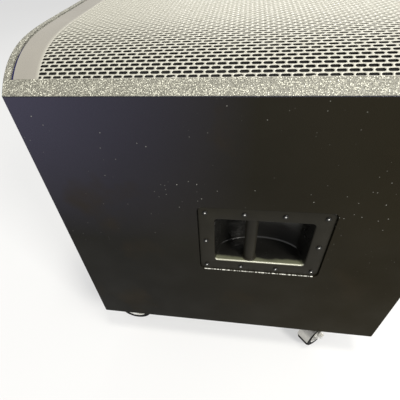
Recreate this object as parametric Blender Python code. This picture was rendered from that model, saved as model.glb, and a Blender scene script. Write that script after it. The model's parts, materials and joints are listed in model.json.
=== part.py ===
"""Powered bass cabinet of a line array loudspeaker, standing on its rear casters.

The grille faces up (+Z), the cabinet's height in use runs along X (in-use top at +X, in-use
bottom at -X) and its width runs along Y. The origin is on the floor, under the middle of the
whole object. Units are metres.
"""

import math

import bmesh
import bpy
from mathutils import Matrix

# Driving dimensions
CABINET_X = 0.600  # height in use
CABINET_Y = 0.510  # width
CABINET_Z = 0.530  # depth of the plywood box
PLY = 0.018
GAP = 0.0003  # left between neighbouring pieces
EDGE_RADIUS = 0.003  # rounding of the cabinet's outer edges
CASTER_HEIGHT = 0.105
FOOT_PROUD = 0.010
FOOT_Y = 0.190
FOOT_INSET_Z = 0.070

# Arched front: rise above the plywood's front edge, and how square the arch is
ARCH_LIP = 0.0015
ARCH_RISE = 0.046
ARCH_POWER = 6
ARCH_STEPS = 20
BEZEL_RAIL = 0.0155  # width of the bezel's long rails, in plan
BEZEL_END = 0.011  # thickness of its end walls
BEZEL_LEDGE = 0.008
GRILLE_DROP = 0.006  # end flange of the grille
GRILLE_SHEET = 0.0018
GRILLE_END = 0.0155  # from the cabinet's end to the grille's end
FOAM = 0.005

# Baffle, port and woofer
BAFFLE_SET_BACK = 0.015
PORT_HEIGHT = 0.070
PORT_LENGTH = 0.370
WOOFER_RADIUS = 0.230
WOOFER_HOLE = 0.2135
WOOFER_BOLT_CIRCLE = 0.2205
WOOFER_BOLTS = 8

# Recessed bar handles, one in each side panel
HANDLE_X = 0.343  # from the in-use bottom
HANDLE_Z = 0.279  # from the plywood's rear face
PLATE_SIZE = (0.206, 0.154)
PLATE_THICK = 0.0025
PLATE_REBATE = 0.0053
PLATE_MARGIN = 0.0015
PLATE_CORNER = 0.008
POCKET_SIZE = (0.155, 0.103)
POCKET_CORNER = 0.009
POCKET_STRAIGHT = 0.020
POCKET_DEPTH = 0.063
CUP_WALL = 0.0025
BAR_RADIUS = 0.0102
BAR_OFFSET = -0.017
BAR_DEPTH = 0.017  # bar axis behind the panel's face
HANDLE_SCREWS = [(x, z) for z in (-0.0655, 0.0655) for x in (-0.0915, -0.0305, 0.0305, 0.0915)]
HANDLE_SCREWS += [(-0.0915, 0.0), (0.0915, 0.0)]

# Casters
CASTER_INSET_X = 0.080  # swivel axis from the cabinet's ends
CASTER_INSET_Y = 0.058
CASTER_PLATE = (0.100, 0.085, 0.003)
CASTER_BOLT_SPACING = (0.080, 0.060)
TRAIL = 0.028
WHEEL_RADIUS = 0.040
WHEEL_WIDTH = 0.032
FORK_SHEET = 0.0025
FORK_SIDE_GAP = 0.002
CASTER_YAWS = {"near_left": 180, "near_right": 222, "far_left": 320, "far_right": 25}

# Amplifier on the rear
AMP_PLATE = (0.260, 0.340, 0.003)
AMP_CUT_OUT = (0.233, 0.313)
CHASSIS = (0.230, 0.310, 0.095)
CHASSIS_SHEET = 0.0015
HEATSINK = (0.216, 0.130, 0.024)
HEATSINK_FINS = 12
SOCKET_PLACES = {"input_socket": (0.078, -0.120), "output_socket": (0.078, -0.070)}
KNOB_PLACE = (0.028, -0.120)
MODE_PLACE = (0.030, -0.070)
LED_PLACE = (-0.002, -0.070)
SWITCH_PLACE = (-0.040, -0.070)
INLET_PLACE = (-0.085, -0.105)

# Pole socket in the in-use top
POLE_BORE = 0.0182
POLE_DEPTH = 0.085
POLE_Z = 0.265  # from the plywood's rear face

# Places worked out from the dimensions above
X_LOW = (FOOT_PROUD - CABINET_X) / 2
X_HIGH = X_LOW + CABINET_X
X_MIDDLE = (X_LOW + X_HIGH) / 2
Y_HALF = CABINET_Y / 2
Z_BACK = CASTER_HEIGHT
Z_EDGE = Z_BACK + CABINET_Z
INSIDE_X_LOW = X_LOW + PLY + GAP
INSIDE_X_HIGH = X_HIGH - PLY - GAP
INSIDE_Y = Y_HALF - PLY - GAP
BAFFLE_FRONT = Z_EDGE - BAFFLE_SET_BACK
BAFFLE_BACK = BAFFLE_FRONT - PLY
SHELF_LOW = X_LOW + PLY + PORT_HEIGHT
SHELF_HIGH = SHELF_LOW + PLY
WOOFER_X = (SHELF_HIGH + INSIDE_X_HIGH) / 2
HANDLE_AT = (X_LOW + HANDLE_X, Z_BACK + HANDLE_Z)
AMP_INNER = Z_BACK - GAP
AMP_OUTER = AMP_INNER - AMP_PLATE[2]
SKIN = AMP_OUTER - GAP  # where pieces start that sit on the amplifier plate's outside

PALETTE = {
    "ply_paint": ((0.026, 0.026, 0.025), 0.55, 0.0),
    "raw_ply": ((0.45, 0.31, 0.17), 0.75, 0.0),
    "bezel_paint": ((0.10, 0.10, 0.095), 0.50, 0.0),
    "grille_paint": ((0.11, 0.11, 0.105), 0.45, 0.6),
    "foam": ((0.012, 0.012, 0.012), 0.95, 0.0),
    "handle_plastic": ((0.030, 0.030, 0.028), 0.50, 0.0),
    "zinc": ((0.62, 0.61, 0.58), 0.30, 1.0),
    "rubber": ((0.015, 0.015, 0.015), 0.80, 0.0),
    "wheel": ((0.020, 0.020, 0.020), 0.60, 0.0),
    "cast_aluminium": ((0.45, 0.45, 0.46), 0.50, 1.0),
    "ferrite": ((0.06, 0.06, 0.065), 0.70, 0.0),
    "steel": ((0.50, 0.50, 0.50), 0.35, 1.0),
    "paper": ((0.020, 0.020, 0.020), 0.90, 0.0),
    "cloth": ((0.30, 0.22, 0.10), 0.90, 0.0),
    "copper": ((0.75, 0.36, 0.18), 0.35, 1.0),
    "anodised": ((0.030, 0.030, 0.032), 0.40, 0.8),
    "circuit": ((0.02, 0.18, 0.06), 0.50, 0.0),
    "black_plastic": ((0.018, 0.018, 0.018), 0.45, 0.0),
    "led": ((0.10, 0.60, 0.15), 0.20, 0.0),
}


def clear_scene():
    for obj in list(bpy.data.objects):
        bpy.data.objects.remove(obj, do_unlink=True)


def make_materials():
    made = {}
    for name, (colour, roughness, metallic) in PALETTE.items():
        material = bpy.data.materials.new(name)
        material.use_nodes = True
        shader = material.node_tree.nodes["Principled BSDF"]
        shader.inputs["Base Color"].default_value = (*colour, 1.0)
        shader.inputs["Roughness"].default_value = roughness
        shader.inputs["Metallic"].default_value = metallic
        made[name] = material
    return made


# Shape helpers: each returns a bmesh that holds closed bodies


def prism(outline, low, high, axis="Z"):
    """Extrudes a flat outline along an axis. Its two coordinates are the other axes, in XYZ order."""
    place = {
        "X": lambda u, v, w: (w, u, v),
        "Y": lambda u, v, w: (u, w, v),
        "Z": lambda u, v, w: (u, v, w),
    }[axis]
    shape = bmesh.new()
    start = [shape.verts.new(place(u, v, low)) for u, v in outline]
    end = [shape.verts.new(place(u, v, high)) for u, v in outline]
    shape.faces.new(start)
    shape.faces.new(end)
    for index in range(len(outline)):
        shape.faces.new((start[index - 1], start[index], end[index], end[index - 1]))
    bmesh.ops.recalc_face_normals(shape, faces=shape.faces)
    return shape


def lofted(rings):
    """A closed body through rings of points that all have the same number of points."""
    shape = bmesh.new()
    rings = [[shape.verts.new(point) for point in ring] for ring in rings]
    shape.faces.new(rings[0])
    shape.faces.new(rings[-1])
    for ring, following in zip(rings, rings[1:]):
        for index in range(len(ring)):
            shape.faces.new((ring[index - 1], ring[index], following[index], following[index - 1]))
    bmesh.ops.recalc_face_normals(shape, faces=shape.faces)
    return shape


def block(low, high):
    outline = [(low[0], low[1]), (high[0], low[1]), (high[0], high[1]), (low[0], high[1])]
    return prism(outline, low[2], high[2])


def plate(centre, size, low, high):
    """A block over a rectangle of the XY plane."""
    across, along = size[0] / 2, size[1] / 2
    x, y = centre
    return block((x - across, y - along, low), (x + across, y + along, high))


def turned(profile, segments=32):
    """Turns a closed (radius, height) outline about Z. A radius of 0 closes on the axis."""
    shape = bmesh.new()
    turns = [2 * math.pi * index / segments for index in range(segments)]
    rings = []
    for radius, height in profile:
        if radius == 0:
            rings.append([shape.verts.new((0, 0, height))] * segments)
        else:
            ring = [(radius * math.cos(turn), radius * math.sin(turn), height) for turn in turns]
            rings.append([shape.verts.new(point) for point in ring])
    for ring, following in zip(rings, rings[1:] + rings[:1]):
        for index in range(segments):
            corners = (ring[index - 1], ring[index], following[index], following[index - 1])
            corners = list(dict.fromkeys(corners))
            if len(corners) > 2:
                shape.faces.new(corners)
    bmesh.ops.recalc_face_normals(shape, faces=shape.faces)
    return shape


def cylinder(radius, low, high, segments=24):
    return turned([(0, low), (radius, low), (radius, high), (0, high)], segments)


def moved(shape, matrix):
    bmesh.ops.transform(shape, matrix=matrix, verts=shape.verts)
    return shape


def shifted(shape, x=0.0, y=0.0, z=0.0):
    return moved(shape, Matrix.Translation((x, y, z)))


def copies(shape, matrices):
    """Separate copies of a shape in one bmesh, one at each matrix."""
    stamp = bpy.data.meshes.new("stamp")
    shape.to_mesh(stamp)
    shape.free()
    group = bmesh.new()
    for matrix in matrices:
        before = len(group.verts)
        group.from_mesh(stamp)
        group.verts.ensure_lookup_table()
        bmesh.ops.transform(group, matrix=matrix, verts=group.verts[before:])
    bpy.data.meshes.remove(stamp)
    return group


def at_places(shape, places):
    return copies(shape, [Matrix.Translation(place) for place in places])


def combined(shape, tool, operation):
    """The Boolean of two shapes, which are used up."""
    pair = []
    for name, source in (("shape", shape), ("tool", tool)):
        mesh = bpy.data.meshes.new(name)
        source.to_mesh(mesh)
        source.free()
        obj = bpy.data.objects.new(name, mesh)
        bpy.context.scene.collection.objects.link(obj)
        pair.append(obj)
    modifier = pair[0].modifiers.new("boolean", "BOOLEAN")
    modifier.operation = operation
    modifier.solver = "EXACT"
    modifier.object = pair[1]
    seen = pair[0].evaluated_get(bpy.context.evaluated_depsgraph_get())
    result = bmesh.new()
    result.from_mesh(seen.to_mesh())
    seen.to_mesh_clear()
    for obj in pair:
        mesh = obj.data
        bpy.data.objects.remove(obj, do_unlink=True)
        bpy.data.meshes.remove(mesh)
    return result


def cut(shape, *tools):
    for tool in tools:
        shape = combined(shape, tool, "DIFFERENCE")
    return shape


def union(shape, *others):
    for other in others:
        shape = combined(shape, other, "UNION")
    return shape


def add(name, shape, material, smooth=None):
    """Makes the named sub-part. A smooth angle, in degrees, rounds its shading below that angle."""
    mesh = bpy.data.meshes.new(name)
    shape.to_mesh(mesh)
    shape.free()
    mesh.materials.append(MATERIALS[material])
    if smooth is not None:
        mesh.shade_smooth()
        mesh.set_sharp_from_angle(angle=math.radians(smooth))
    obj = bpy.data.objects.new(name, mesh)
    bpy.context.scene.collection.objects.link(obj)
    return obj


# Outlines


def rounded_rectangle(size, radius, steps=4, centre=(0.0, 0.0)):
    """Anticlockwise outline of a rectangle with round corners."""
    points = []
    for quarter, (side_x, side_y) in enumerate(((1, 1), (-1, 1), (-1, -1), (1, -1))):
        corner_x = centre[0] + side_x * (size[0] / 2 - radius)
        corner_y = centre[1] + side_y * (size[1] / 2 - radius)
        for step in range(steps + 1):
            turn = math.pi / 2 * (quarter + step / steps)
            points.append((corner_x + radius * math.cos(turn), corner_y + radius * math.sin(turn)))
    return points


def arch_height(y):
    return Z_EDGE + GAP + ARCH_LIP + ARCH_RISE * (1 - abs(y / Y_HALF) ** ARCH_POWER)


def arch_stations(half_width):
    """Places across the arch, closer together near its steep edges."""
    turns = [math.pi * (step / ARCH_STEPS - 0.5) for step in range(ARCH_STEPS + 1)]
    return [half_width * math.sin(turn) for turn in turns]


def scoop(grow):
    """Plan of the handle's scoop, in (x, depth): straight sides, then half an ellipse."""
    half_width = POCKET_SIZE[0] / 2 + grow
    bulge = POCKET_DEPTH - POCKET_STRAIGHT + grow
    points = [(-half_width, -0.02), (half_width, -0.02)]
    for step in range(21):
        turn = math.pi * step / 20
        points.append((half_width * math.cos(turn), POCKET_STRAIGHT + bulge * math.sin(turn)))
    return points


# Cabinet


def round_outer_edges(shape):
    """Rounds the edges that lie where two of the cabinet's outer faces meet."""
    planes = ((0, X_LOW), (0, X_HIGH), (1, -Y_HALF), (1, Y_HALF), (2, Z_BACK))

    def shared(edge):
        on_plane = [all(abs(v.co[axis] - at) < 1e-5 for v in edge.verts) for axis, at in planes]
        return sum(on_plane)

    edges = [edge for edge in shape.edges if shared(edge) == 2]
    bmesh.ops.bevel(
        shape, geom=edges, offset=EDGE_RADIUS, segments=3, profile=0.5, affect="EDGES"
    )
    return shape


def handle_screw_holes(side):
    """Cutters along Y for the holes of a handle's screws."""
    hole = moved(cylinder(0.0018, -0.01, 0.01, 6), Matrix.Rotation(math.radians(90), 4, "X"))
    places = [(HANDLE_AT[0] + x, side * Y_HALF, HANDLE_AT[1] + z) for x, z in HANDLE_SCREWS]
    return at_places(hole, places)


def y_span(side, depth_low, depth_high):
    """Lowest and highest Y for a range of depths behind one side panel's face."""
    ends = (side * (Y_HALF - depth_low), side * (Y_HALF - depth_high))
    return min(ends), max(ends)


def side_panel(side):
    low, high = y_span(side, 0.0, PLY)
    panel = block((X_LOW, low, Z_BACK), (X_HIGH, high, Z_EDGE))
    round_outer_edges(panel)
    rebate_size = [length + 2 * PLATE_MARGIN for length in PLATE_SIZE]
    rebate = prism(
        rounded_rectangle(rebate_size, PLATE_CORNER + PLATE_MARGIN, 4, HANDLE_AT),
        *y_span(side, -0.01, PLATE_REBATE),
        "Y",
    )
    opening_size = [length + 2 * (CUP_WALL + 0.001) for length in POCKET_SIZE]
    opening = prism(
        rounded_rectangle(opening_size, POCKET_CORNER, 4, HANDLE_AT), *y_span(side, -0.01, 0.03), "Y"
    )
    return cut(panel, rebate, opening)


def make_cabinet():
    add("side_panel_near", side_panel(-1), "ply_paint", 40)
    add("side_panel_far", side_panel(1), "ply_paint", 40)
    top = block((X_HIGH - PLY, -INSIDE_Y, Z_BACK), (X_HIGH, INSIDE_Y, Z_EDGE))
    round_outer_edges(top)
    add("top_panel", cut(top, *pole_socket_room()), "ply_paint", 40)
    bottom = block((X_LOW, -INSIDE_Y, Z_BACK), (X_LOW + PLY, INSIDE_Y, Z_EDGE))
    add("bottom_panel", round_outer_edges(bottom), "ply_paint", 40)
    rear = block((INSIDE_X_LOW, -INSIDE_Y, Z_BACK), (INSIDE_X_HIGH, INSIDE_Y, Z_BACK + PLY))
    amp_hole = plate((X_MIDDLE, 0), AMP_CUT_OUT, Z_BACK - 0.01, Z_BACK + PLY + 0.01)
    add("rear_panel", cut(rear, amp_hole), "ply_paint")
    make_inside()
    make_feet()


def make_inside():
    """Baffle, slot port shelf and window brace."""
    baffle = block(
        (SHELF_HIGH + GAP, -INSIDE_Y, BAFFLE_BACK), (INSIDE_X_HIGH, INSIDE_Y, BAFFLE_FRONT)
    )
    mouth = cylinder(WOOFER_HOLE, BAFFLE_BACK - 0.01, BAFFLE_FRONT + 0.01, 40)
    add("baffle", cut(baffle, shifted(mouth, WOOFER_X)), "ply_paint")
    shelf_back = BAFFLE_FRONT - PORT_LENGTH
    shelf = block((SHELF_LOW, -INSIDE_Y, shelf_back), (SHELF_HIGH, INSIDE_Y, BAFFLE_FRONT))
    add("port_shelf", shelf, "ply_paint")
    brace_low = Z_BACK + 0.180
    brace = block((SHELF_HIGH + GAP, -INSIDE_Y, brace_low), (INSIDE_X_HIGH, INSIDE_Y, brace_low + PLY))
    window_size = (INSIDE_X_HIGH - SHELF_HIGH - 0.130, 2 * INSIDE_Y - 0.150)
    window = prism(
        rounded_rectangle(window_size, 0.025, 4, (WOOFER_X, 0)), brace_low - 0.01, brace_low + 0.03
    )
    add("brace", cut(brace, window), "raw_ply")


def make_feet():
    profile = [(0, 0), (0.020, 0), (0.017, FOOT_PROUD - GAP), (0, FOOT_PROUD - GAP)]
    for row, y in (("near", -FOOT_Y), ("far", FOOT_Y)):
        for end, z in (("rear", Z_BACK + FOOT_INSET_Z), ("front", Z_EDGE - FOOT_INSET_Z)):
            foot = add(f"rubber_foot_{row}_{end}", turned(profile, 20), "rubber", 40)
            foot.location = (X_LOW - GAP, y, z)
            foot.rotation_euler.y = math.radians(-90)


# Arched front


def under_arch(x_low, x_high, half_width, drop):
    """The space above a surface that lies this far under the arch, as a cutter."""
    stations = arch_stations(half_width)
    surface = [(y, arch_height(y) - drop) for y in stations]
    lid = Z_EDGE + ARCH_RISE + 0.03
    return prism([(half_width, lid), (-half_width, lid)] + surface, x_low, x_high, "X")


def make_bezel():
    base = Z_EDGE + GAP
    rings = []
    turns = [math.pi / 2 * step / 3 for step in range(4)]
    for end, inward in ((X_LOW, 1), (X_HIGH, -1)):
        for turn in turns if inward > 0 else turns[::-1]:
            along = EDGE_RADIUS * (1 - math.cos(turn))
            inset = EDGE_RADIUS * (1 - math.sin(turn))
            narrow = 1 - inset / Y_HALF
            drop = min(inset, ARCH_LIP / 2)
            ring = [(end + inward * along, y * narrow, base) for y in (Y_HALF, -Y_HALF)]
            for y in arch_stations(Y_HALF):
                height = max(arch_height(y) - inset, base + ARCH_LIP - drop)
                ring.append((end + inward * along, y * narrow, height))
            rings.append(ring)
    frame = lofted(rings)
    inner = Y_HALF - BEZEL_RAIL
    seat = under_arch(X_LOW + BEZEL_END, X_HIGH - BEZEL_END, inner, GRILLE_SHEET + 0.0008)
    channel_depth = GRILLE_DROP + 0.003
    channels = []
    for start, end in (
        (X_LOW + BEZEL_END, X_LOW + BEZEL_END + BEZEL_LEDGE + 0.002),
        (X_HIGH - BEZEL_END - BEZEL_LEDGE - 0.002, X_HIGH - BEZEL_END),
    ):
        channels.append(under_arch(start, end, inner + 0.0005, channel_depth))
    window = plate(
        (X_MIDDLE, 0),
        (CABINET_X - 2 * (BEZEL_END + BEZEL_LEDGE), 2 * (inner - BEZEL_LEDGE)),
        Z_EDGE - 0.02,
        Z_EDGE + 0.10,
    )
    add("front_bezel", cut(frame, seat, *channels, window), "bezel_paint", 30)


def bent_over_arch(outline, half_width):
    """A sheet that follows the arch, from its closed outline of (x, drop under the arch)."""
    stations = [(y, arch_height(y)) for y in arch_stations(half_width)]
    return lofted([[(x, y, height - drop) for x, drop in outline] for y, height in stations])


def make_grille():
    low, high = X_LOW + GRILLE_END, X_HIGH - GRILLE_END
    sheet = GRILLE_SHEET
    outline = [(low, GRILLE_DROP), (low, 0.0), (high, 0.0), (high, GRILLE_DROP)]
    outline += [(high - sheet, GRILLE_DROP), (high - sheet, sheet)]
    outline += [(low + sheet, sheet), (low + sheet, GRILLE_DROP)]
    half_width = Y_HALF - BEZEL_RAIL - GAP
    add("front_grille", bent_over_arch(outline, half_width), "grille_paint", 30)
    foam_end = BEZEL_END + BEZEL_LEDGE + 0.001
    low, high = X_LOW + foam_end, X_HIGH - foam_end
    top = sheet + 0.001
    outline = [(low, top), (high, top), (high, top + FOAM), (low, top + FOAM)]
    foam_width = Y_HALF - BEZEL_RAIL - BEZEL_LEDGE - 0.001
    add("grille_foam", bent_over_arch(outline, foam_width), "foam", 30)


# Handles


def handle_cup(side):
    """Plate and scoop moulded in one, with the pocket cut out of it."""
    front = PLATE_REBATE - GAP - PLATE_THICK
    flange = prism(
        rounded_rectangle(PLATE_SIZE, PLATE_CORNER, 4, HANDLE_AT),
        *y_span(side, front, front + PLATE_THICK),
        "Y",
    )
    shell_size = [length + 2 * CUP_WALL for length in POCKET_SIZE]
    shell = handle_scoop(side, CUP_WALL, shell_size, front + 0.001, POCKET_CORNER + CUP_WALL)
    pocket = handle_scoop(side, 0.0, POCKET_SIZE, front - 0.005, POCKET_CORNER)
    return cut(union(flange, shell), pocket, handle_screw_holes(side))


def handle_scoop(side, grow, size, start, corner):
    """A scoop that keeps to a rounded rectangle seen from the front, from a depth inwards."""
    plan = [(HANDLE_AT[0] + x, side * (Y_HALF - depth)) for x, depth in scoop(grow)]
    half_height = size[1] / 2
    body = prism(plan, HANDLE_AT[1] - half_height - 0.01, HANDLE_AT[1] + half_height + 0.01)
    limits = prism(
        rounded_rectangle(size, corner, 4, HANDLE_AT), *y_span(side, start, 0.09), "Y"
    )
    return combined(body, limits, "INTERSECT")


def make_handle(side, suffix):
    add(f"handle_cup_{suffix}", handle_cup(side), "handle_plastic", 40)
    bar_length = POCKET_SIZE[1] - 2 * GAP
    bar = add(
        f"handle_bar_{suffix}",
        cylinder(BAR_RADIUS, -bar_length / 2, bar_length / 2, 28),
        "handle_plastic",
        40,
    )
    bar.location = (HANDLE_AT[0] + BAR_OFFSET, side * (Y_HALF - BAR_DEPTH), HANDLE_AT[1])


# Pole socket


POLE_AXIS = Matrix.Translation((X_HIGH, 0, Z_BACK + POLE_Z)) @ Matrix.Rotation(
    math.radians(90), 4, "Y"
)
POLE_FLANGE = 0.050
POLE_SCREW_CIRCLE = 0.038


def pole_screw_places():
    turns = [math.radians(45 + 90 * index) for index in range(4)]
    return [(POLE_SCREW_CIRCLE * math.cos(t), POLE_SCREW_CIRCLE * math.sin(t), 0) for t in turns]


def pole_socket_room():
    """Cutters for the socket's seat and its hole in the top panel."""
    seat = moved(cylinder(POLE_FLANGE + 0.0005, -0.0045, 0.01, 28), POLE_AXIS)
    hole = moved(cylinder(POLE_BORE + 0.0035, -0.03, 0.01, 28), POLE_AXIS)
    return seat, hole


def make_pole_socket():
    wall = POLE_BORE + 0.003
    cup = turned(
        [
            (0, -POLE_DEPTH - 0.003),
            (wall, -POLE_DEPTH - 0.003),
            (wall, -0.0042),
            (POLE_FLANGE, -0.0042),
            (POLE_FLANGE, -0.0012),
            (POLE_FLANGE - 0.0008, -0.0004),
            (POLE_BORE + 0.001, -0.0004),
            (POLE_BORE, -0.0014),
            (POLE_BORE, -POLE_DEPTH),
            (0, -POLE_DEPTH),
        ],
        28,
    )
    holes = at_places(cylinder(0.0020, -0.006, 0.01, 8), pole_screw_places())
    cup = moved(cut(cup, holes), POLE_AXIS)
    add("pole_socket", cup, "handle_plastic", 40)


# Woofer, turned about its own axis and set on the baffle

VOICE_COIL = (0.0490, 0.0510)
SURROUND_ROLL = 0.0115
CONE_RIM = 0.178


def woofer_screw_places():
    places = []
    for index in range(WOOFER_BOLTS):
        turn = 2 * math.pi * (index + 0.5) / WOOFER_BOLTS
        x = WOOFER_X + WOOFER_BOLT_CIRCLE * math.cos(turn)
        places.append((x, WOOFER_BOLT_CIRCLE * math.sin(turn), 0))
    return places


def woofer_piece(name, profile, material, segments=28):
    obj = add(name, turned(profile, segments), material, 35)
    obj.location = (WOOFER_X, 0, BAFFLE_FRONT)
    return obj


def basket_shape():
    wall = turned(
        [
            (0.0625, -0.1200),
            (0.1150, -0.1200),
            (0.2110, -0.0120),
            (0.2110, GAP),
            (WOOFER_RADIUS, GAP),
            (WOOFER_RADIUS, 0.0063),
            (0.1985, 0.0063),
            (0.1985, 0.0015),
            (0.2060, -0.0050),
            (0.1120, -0.1155),
            (0.0625, -0.1155),
        ],
        28,
    )
    window = prism(
        [(0.120, -0.036), (0.230, -0.078), (0.230, 0.078), (0.120, 0.036)], -0.105, -0.022
    )
    turns = [Matrix.Rotation(2 * math.pi * index / 6, 4, "Z") for index in range(6)]
    holes = at_places(
        cylinder(0.0030, -0.005, 0.02, 6), [(x - WOOFER_X, y, z) for x, y, z in woofer_screw_places()]
    )
    return cut(wall, copies(window, turns), holes)


def roll(inner_rim, inner, outer, outer_rim, base, thickness):
    """Half-round surround: flat rims at both edges with an arched roll between them."""
    middle = (inner + outer) / 2
    radius = (outer - inner) / 2
    upper = [(inner_rim, base + thickness), (inner, base + thickness)]
    lower = [(outer_rim, base), (outer, base)]
    for step in range(1, 4):
        turn = math.pi * step / 4
        bend = (math.cos(turn), math.sin(turn))
        upper.append((middle - radius * bend[0], base + thickness + radius * bend[1]))
        inside = radius - thickness
        lower.append((middle + inside * bend[0], base + inside * bend[1]))
    upper += [(outer, base + thickness), (outer_rim, base + thickness)]
    lower += [(inner, base), (inner_rim, base)]
    return upper + lower


def spider_outline():
    """Corrugated ring from the voice coil to the basket's wall."""
    inner, outer, middle, wave = VOICE_COIL[1] + 2 * GAP, 0.1320, -0.0855, 0.003
    steps = 5
    line = []
    for step in range(steps + 1):
        radius = inner + (outer - inner) * step / steps
        line.append((radius, middle + wave * (-1) ** step))
    return line + [(radius, height + 0.0010) for radius, height in reversed(line)]


def dome(rim, base, rise, thickness, steps=3):
    outside = []
    inside = []
    for step in range(steps):
        turn = math.pi / 2 * step / steps
        outside.append((rim * math.cos(turn), base + thickness + rise * math.sin(turn)))
        inside.append(((rim - thickness) * math.cos(turn), base + rise * math.sin(turn)))
    outside.append((0, base + thickness + rise))
    inside.append((0, base + rise))
    return outside + inside[::-1]


def make_woofer():
    basket = add("woofer_basket", basket_shape(), "cast_aluminium", 35)
    basket.location = (WOOFER_X, 0, BAFFLE_FRONT)
    magnet = [(0.0620, -0.1606), (0.1100, -0.1606), (0.1100, -0.1306), (0.0620, -0.1306)]
    woofer_piece("woofer_magnet", magnet, "ferrite")
    top = [(0.0525, -0.1303), (0.1050, -0.1303), (0.1050, -0.1203), (0.0525, -0.1203)]
    woofer_piece("woofer_top_plate", top, "steel")
    pole = [
        (0.0150, -0.1749),
        (0.1000, -0.1749),
        (0.1000, -0.1609),
        (0.0478, -0.1609),
        (0.0478, -0.1150),
        (0.0150, -0.1150),
    ]
    woofer_piece("woofer_pole_piece", pole, "steel")
    inner, outer = VOICE_COIL
    coil = [(inner, -0.1450), (outer, -0.1450), (outer, -0.0580), (inner, -0.0580)]
    woofer_piece("voice_coil", coil, "copper")
    neck = outer + GAP
    cone = [
        (neck, -0.0660),
        (CONE_RIM, 0.0030),
        (CONE_RIM, 0.0063),
        (CONE_RIM - 0.010, 0.0063),
        (0.110, -0.0260),
        (neck, -0.0610),
    ]
    woofer_piece("woofer_cone", cone, "paper")
    woofer_piece("woofer_dust_cap", dome(0.064, -0.0520, 0.016, 0.0012), "paper")
    rim_start = CONE_RIM - 0.008
    surround = roll(rim_start, CONE_RIM - 0.002, 0.1990, 0.2090, 0.0066, 0.0012)
    woofer_piece("woofer_surround", surround, "cloth")
    woofer_piece("woofer_spider", spider_outline(), "cloth")


# Amplifier


def amp_screw_places():
    across, along = AMP_PLATE[0] / 2 - 0.0065, AMP_PLATE[1] / 2 - 0.0065
    places = [(side * across, y) for side in (-1, 1) for y in (-along, 0.0, along)]
    places += [(0.0, -along), (0.0, along)]
    return [(X_MIDDLE + x, y) for x, y in places]


def on_plate(place):
    return X_MIDDLE + place[0], place[1]


def through_plate(outline_or_radius, place):
    """A cutter through the amplifier's plate: a round hole, or a rectangle given by its size."""
    low, high = AMP_OUTER - 0.01, AMP_INNER + 0.01
    if isinstance(outline_or_radius, tuple):
        return plate(on_plate(place), outline_or_radius, low, high)
    x, y = on_plate(place)
    return shifted(cylinder(outline_or_radius, low, high, 16), x, y)


SOCKET_BODY = 0.0118
SOCKET_BORE = 0.0095
SOCKET_FLANGE = (0.031, 0.026)
INLET_BODY = (0.028, 0.048)
INLET_CAVITY = (0.017, 0.025)
ROCKER_SIZE = (0.0100, 0.0134)
ROCKER_TILT = 8
ROCKER_FRAME = (0.0160, 0.0210)
MODE_SLOT = (0.0100, 0.0040)
MODE_TRAVEL = 0.004


def make_amp_panel():
    panel = plate((X_MIDDLE, 0), AMP_PLATE[:2], AMP_OUTER, AMP_INNER)
    cutters = [through_plate(SOCKET_BODY + 0.0004, place) for place in SOCKET_PLACES.values()]
    cutters.append(through_plate(0.0036, KNOB_PLACE))
    cutters.append(through_plate(MODE_SLOT, MODE_PLACE))
    cutters.append(through_plate(tuple(size - 0.0012 for size in ROCKER_FRAME), SWITCH_PLACE))
    cutters.append(through_plate(tuple(size - 0.0050 for size in INLET_BODY), INLET_PLACE))
    cutters.append(through_plate(0.0029, LED_PLACE))
    hole = cylinder(0.0022, AMP_OUTER - 0.01, AMP_INNER + 0.01, 6)
    cutters.append(at_places(hole, [(x, y, 0) for x, y in amp_screw_places()]))
    add("amp_panel", cut(panel, *cutters), "anodised", 40)


def make_heatsink():
    """Comb of fins that hang from a base plate."""
    length, width, height = HEATSINK
    pitch = width / (HEATSINK_FINS - 0.5)
    fin = pitch / 2
    base = 0.004
    y_start = 0.012
    outline = [(y_start + width, SKIN), (y_start, SKIN)]
    for index in range(HEATSINK_FINS):
        start = y_start + index * pitch
        outline += [(start, SKIN - height), (start + fin, SKIN - height)]
        if index < HEATSINK_FINS - 1:
            outline += [(start + fin, SKIN - base), (start + pitch, SKIN - base)]
    comb = prism(outline, X_MIDDLE - length / 2, X_MIDDLE + length / 2, "X")
    add("amp_heatsink", comb, "anodised")


def make_chassis():
    outer = plate((X_MIDDLE, 0), CHASSIS[:2], Z_BACK, Z_BACK + CHASSIS[2])
    inner_size = [length - 2 * CHASSIS_SHEET for length in CHASSIS[:2]]
    inside = plate((X_MIDDLE, 0), inner_size, Z_BACK - 0.01, Z_BACK + CHASSIS[2] - CHASSIS_SHEET)
    add("amp_chassis", cut(outer, inside), "steel")
    board_low = Z_BACK + 0.036
    board = plate((X_MIDDLE, 0.020), (0.190, 0.230), board_low, board_low + 0.0016)
    posts = [(x, y, 0) for x in (X_MIDDLE - 0.085, X_MIDDLE + 0.085) for y in (-0.045, 0.125)]
    standoffs = at_places(cylinder(0.003, Z_BACK, board_low + 0.0008, 10), posts)
    add("circuit_board", union(board, standoffs), "circuit")
    on_board = board_low + 0.0016 + GAP
    ring = [(0.012, 0.004), (0.040, 0.0), (0.046, 0.008), (0.046, 0.032), (0.040, 0.040)]
    ring += [(0.016, 0.040), (0.012, 0.034)]
    toroid = add("transformer", turned(ring, 28), "copper", 50)
    toroid.location = (X_MIDDLE - 0.030, 0.070, on_board)
    can = [(0, 0), (0.0175, 0), (0.0175, 0.043), (0.0165, 0.045), (0, 0.045)]
    for name, y in (("capacitor_a", -0.030), ("capacitor_b", 0.015)):
        capacitor = add(name, turned(can, 20), "black_plastic", 40)
        capacitor.location = (X_MIDDLE + 0.055, y, on_board)


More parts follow.
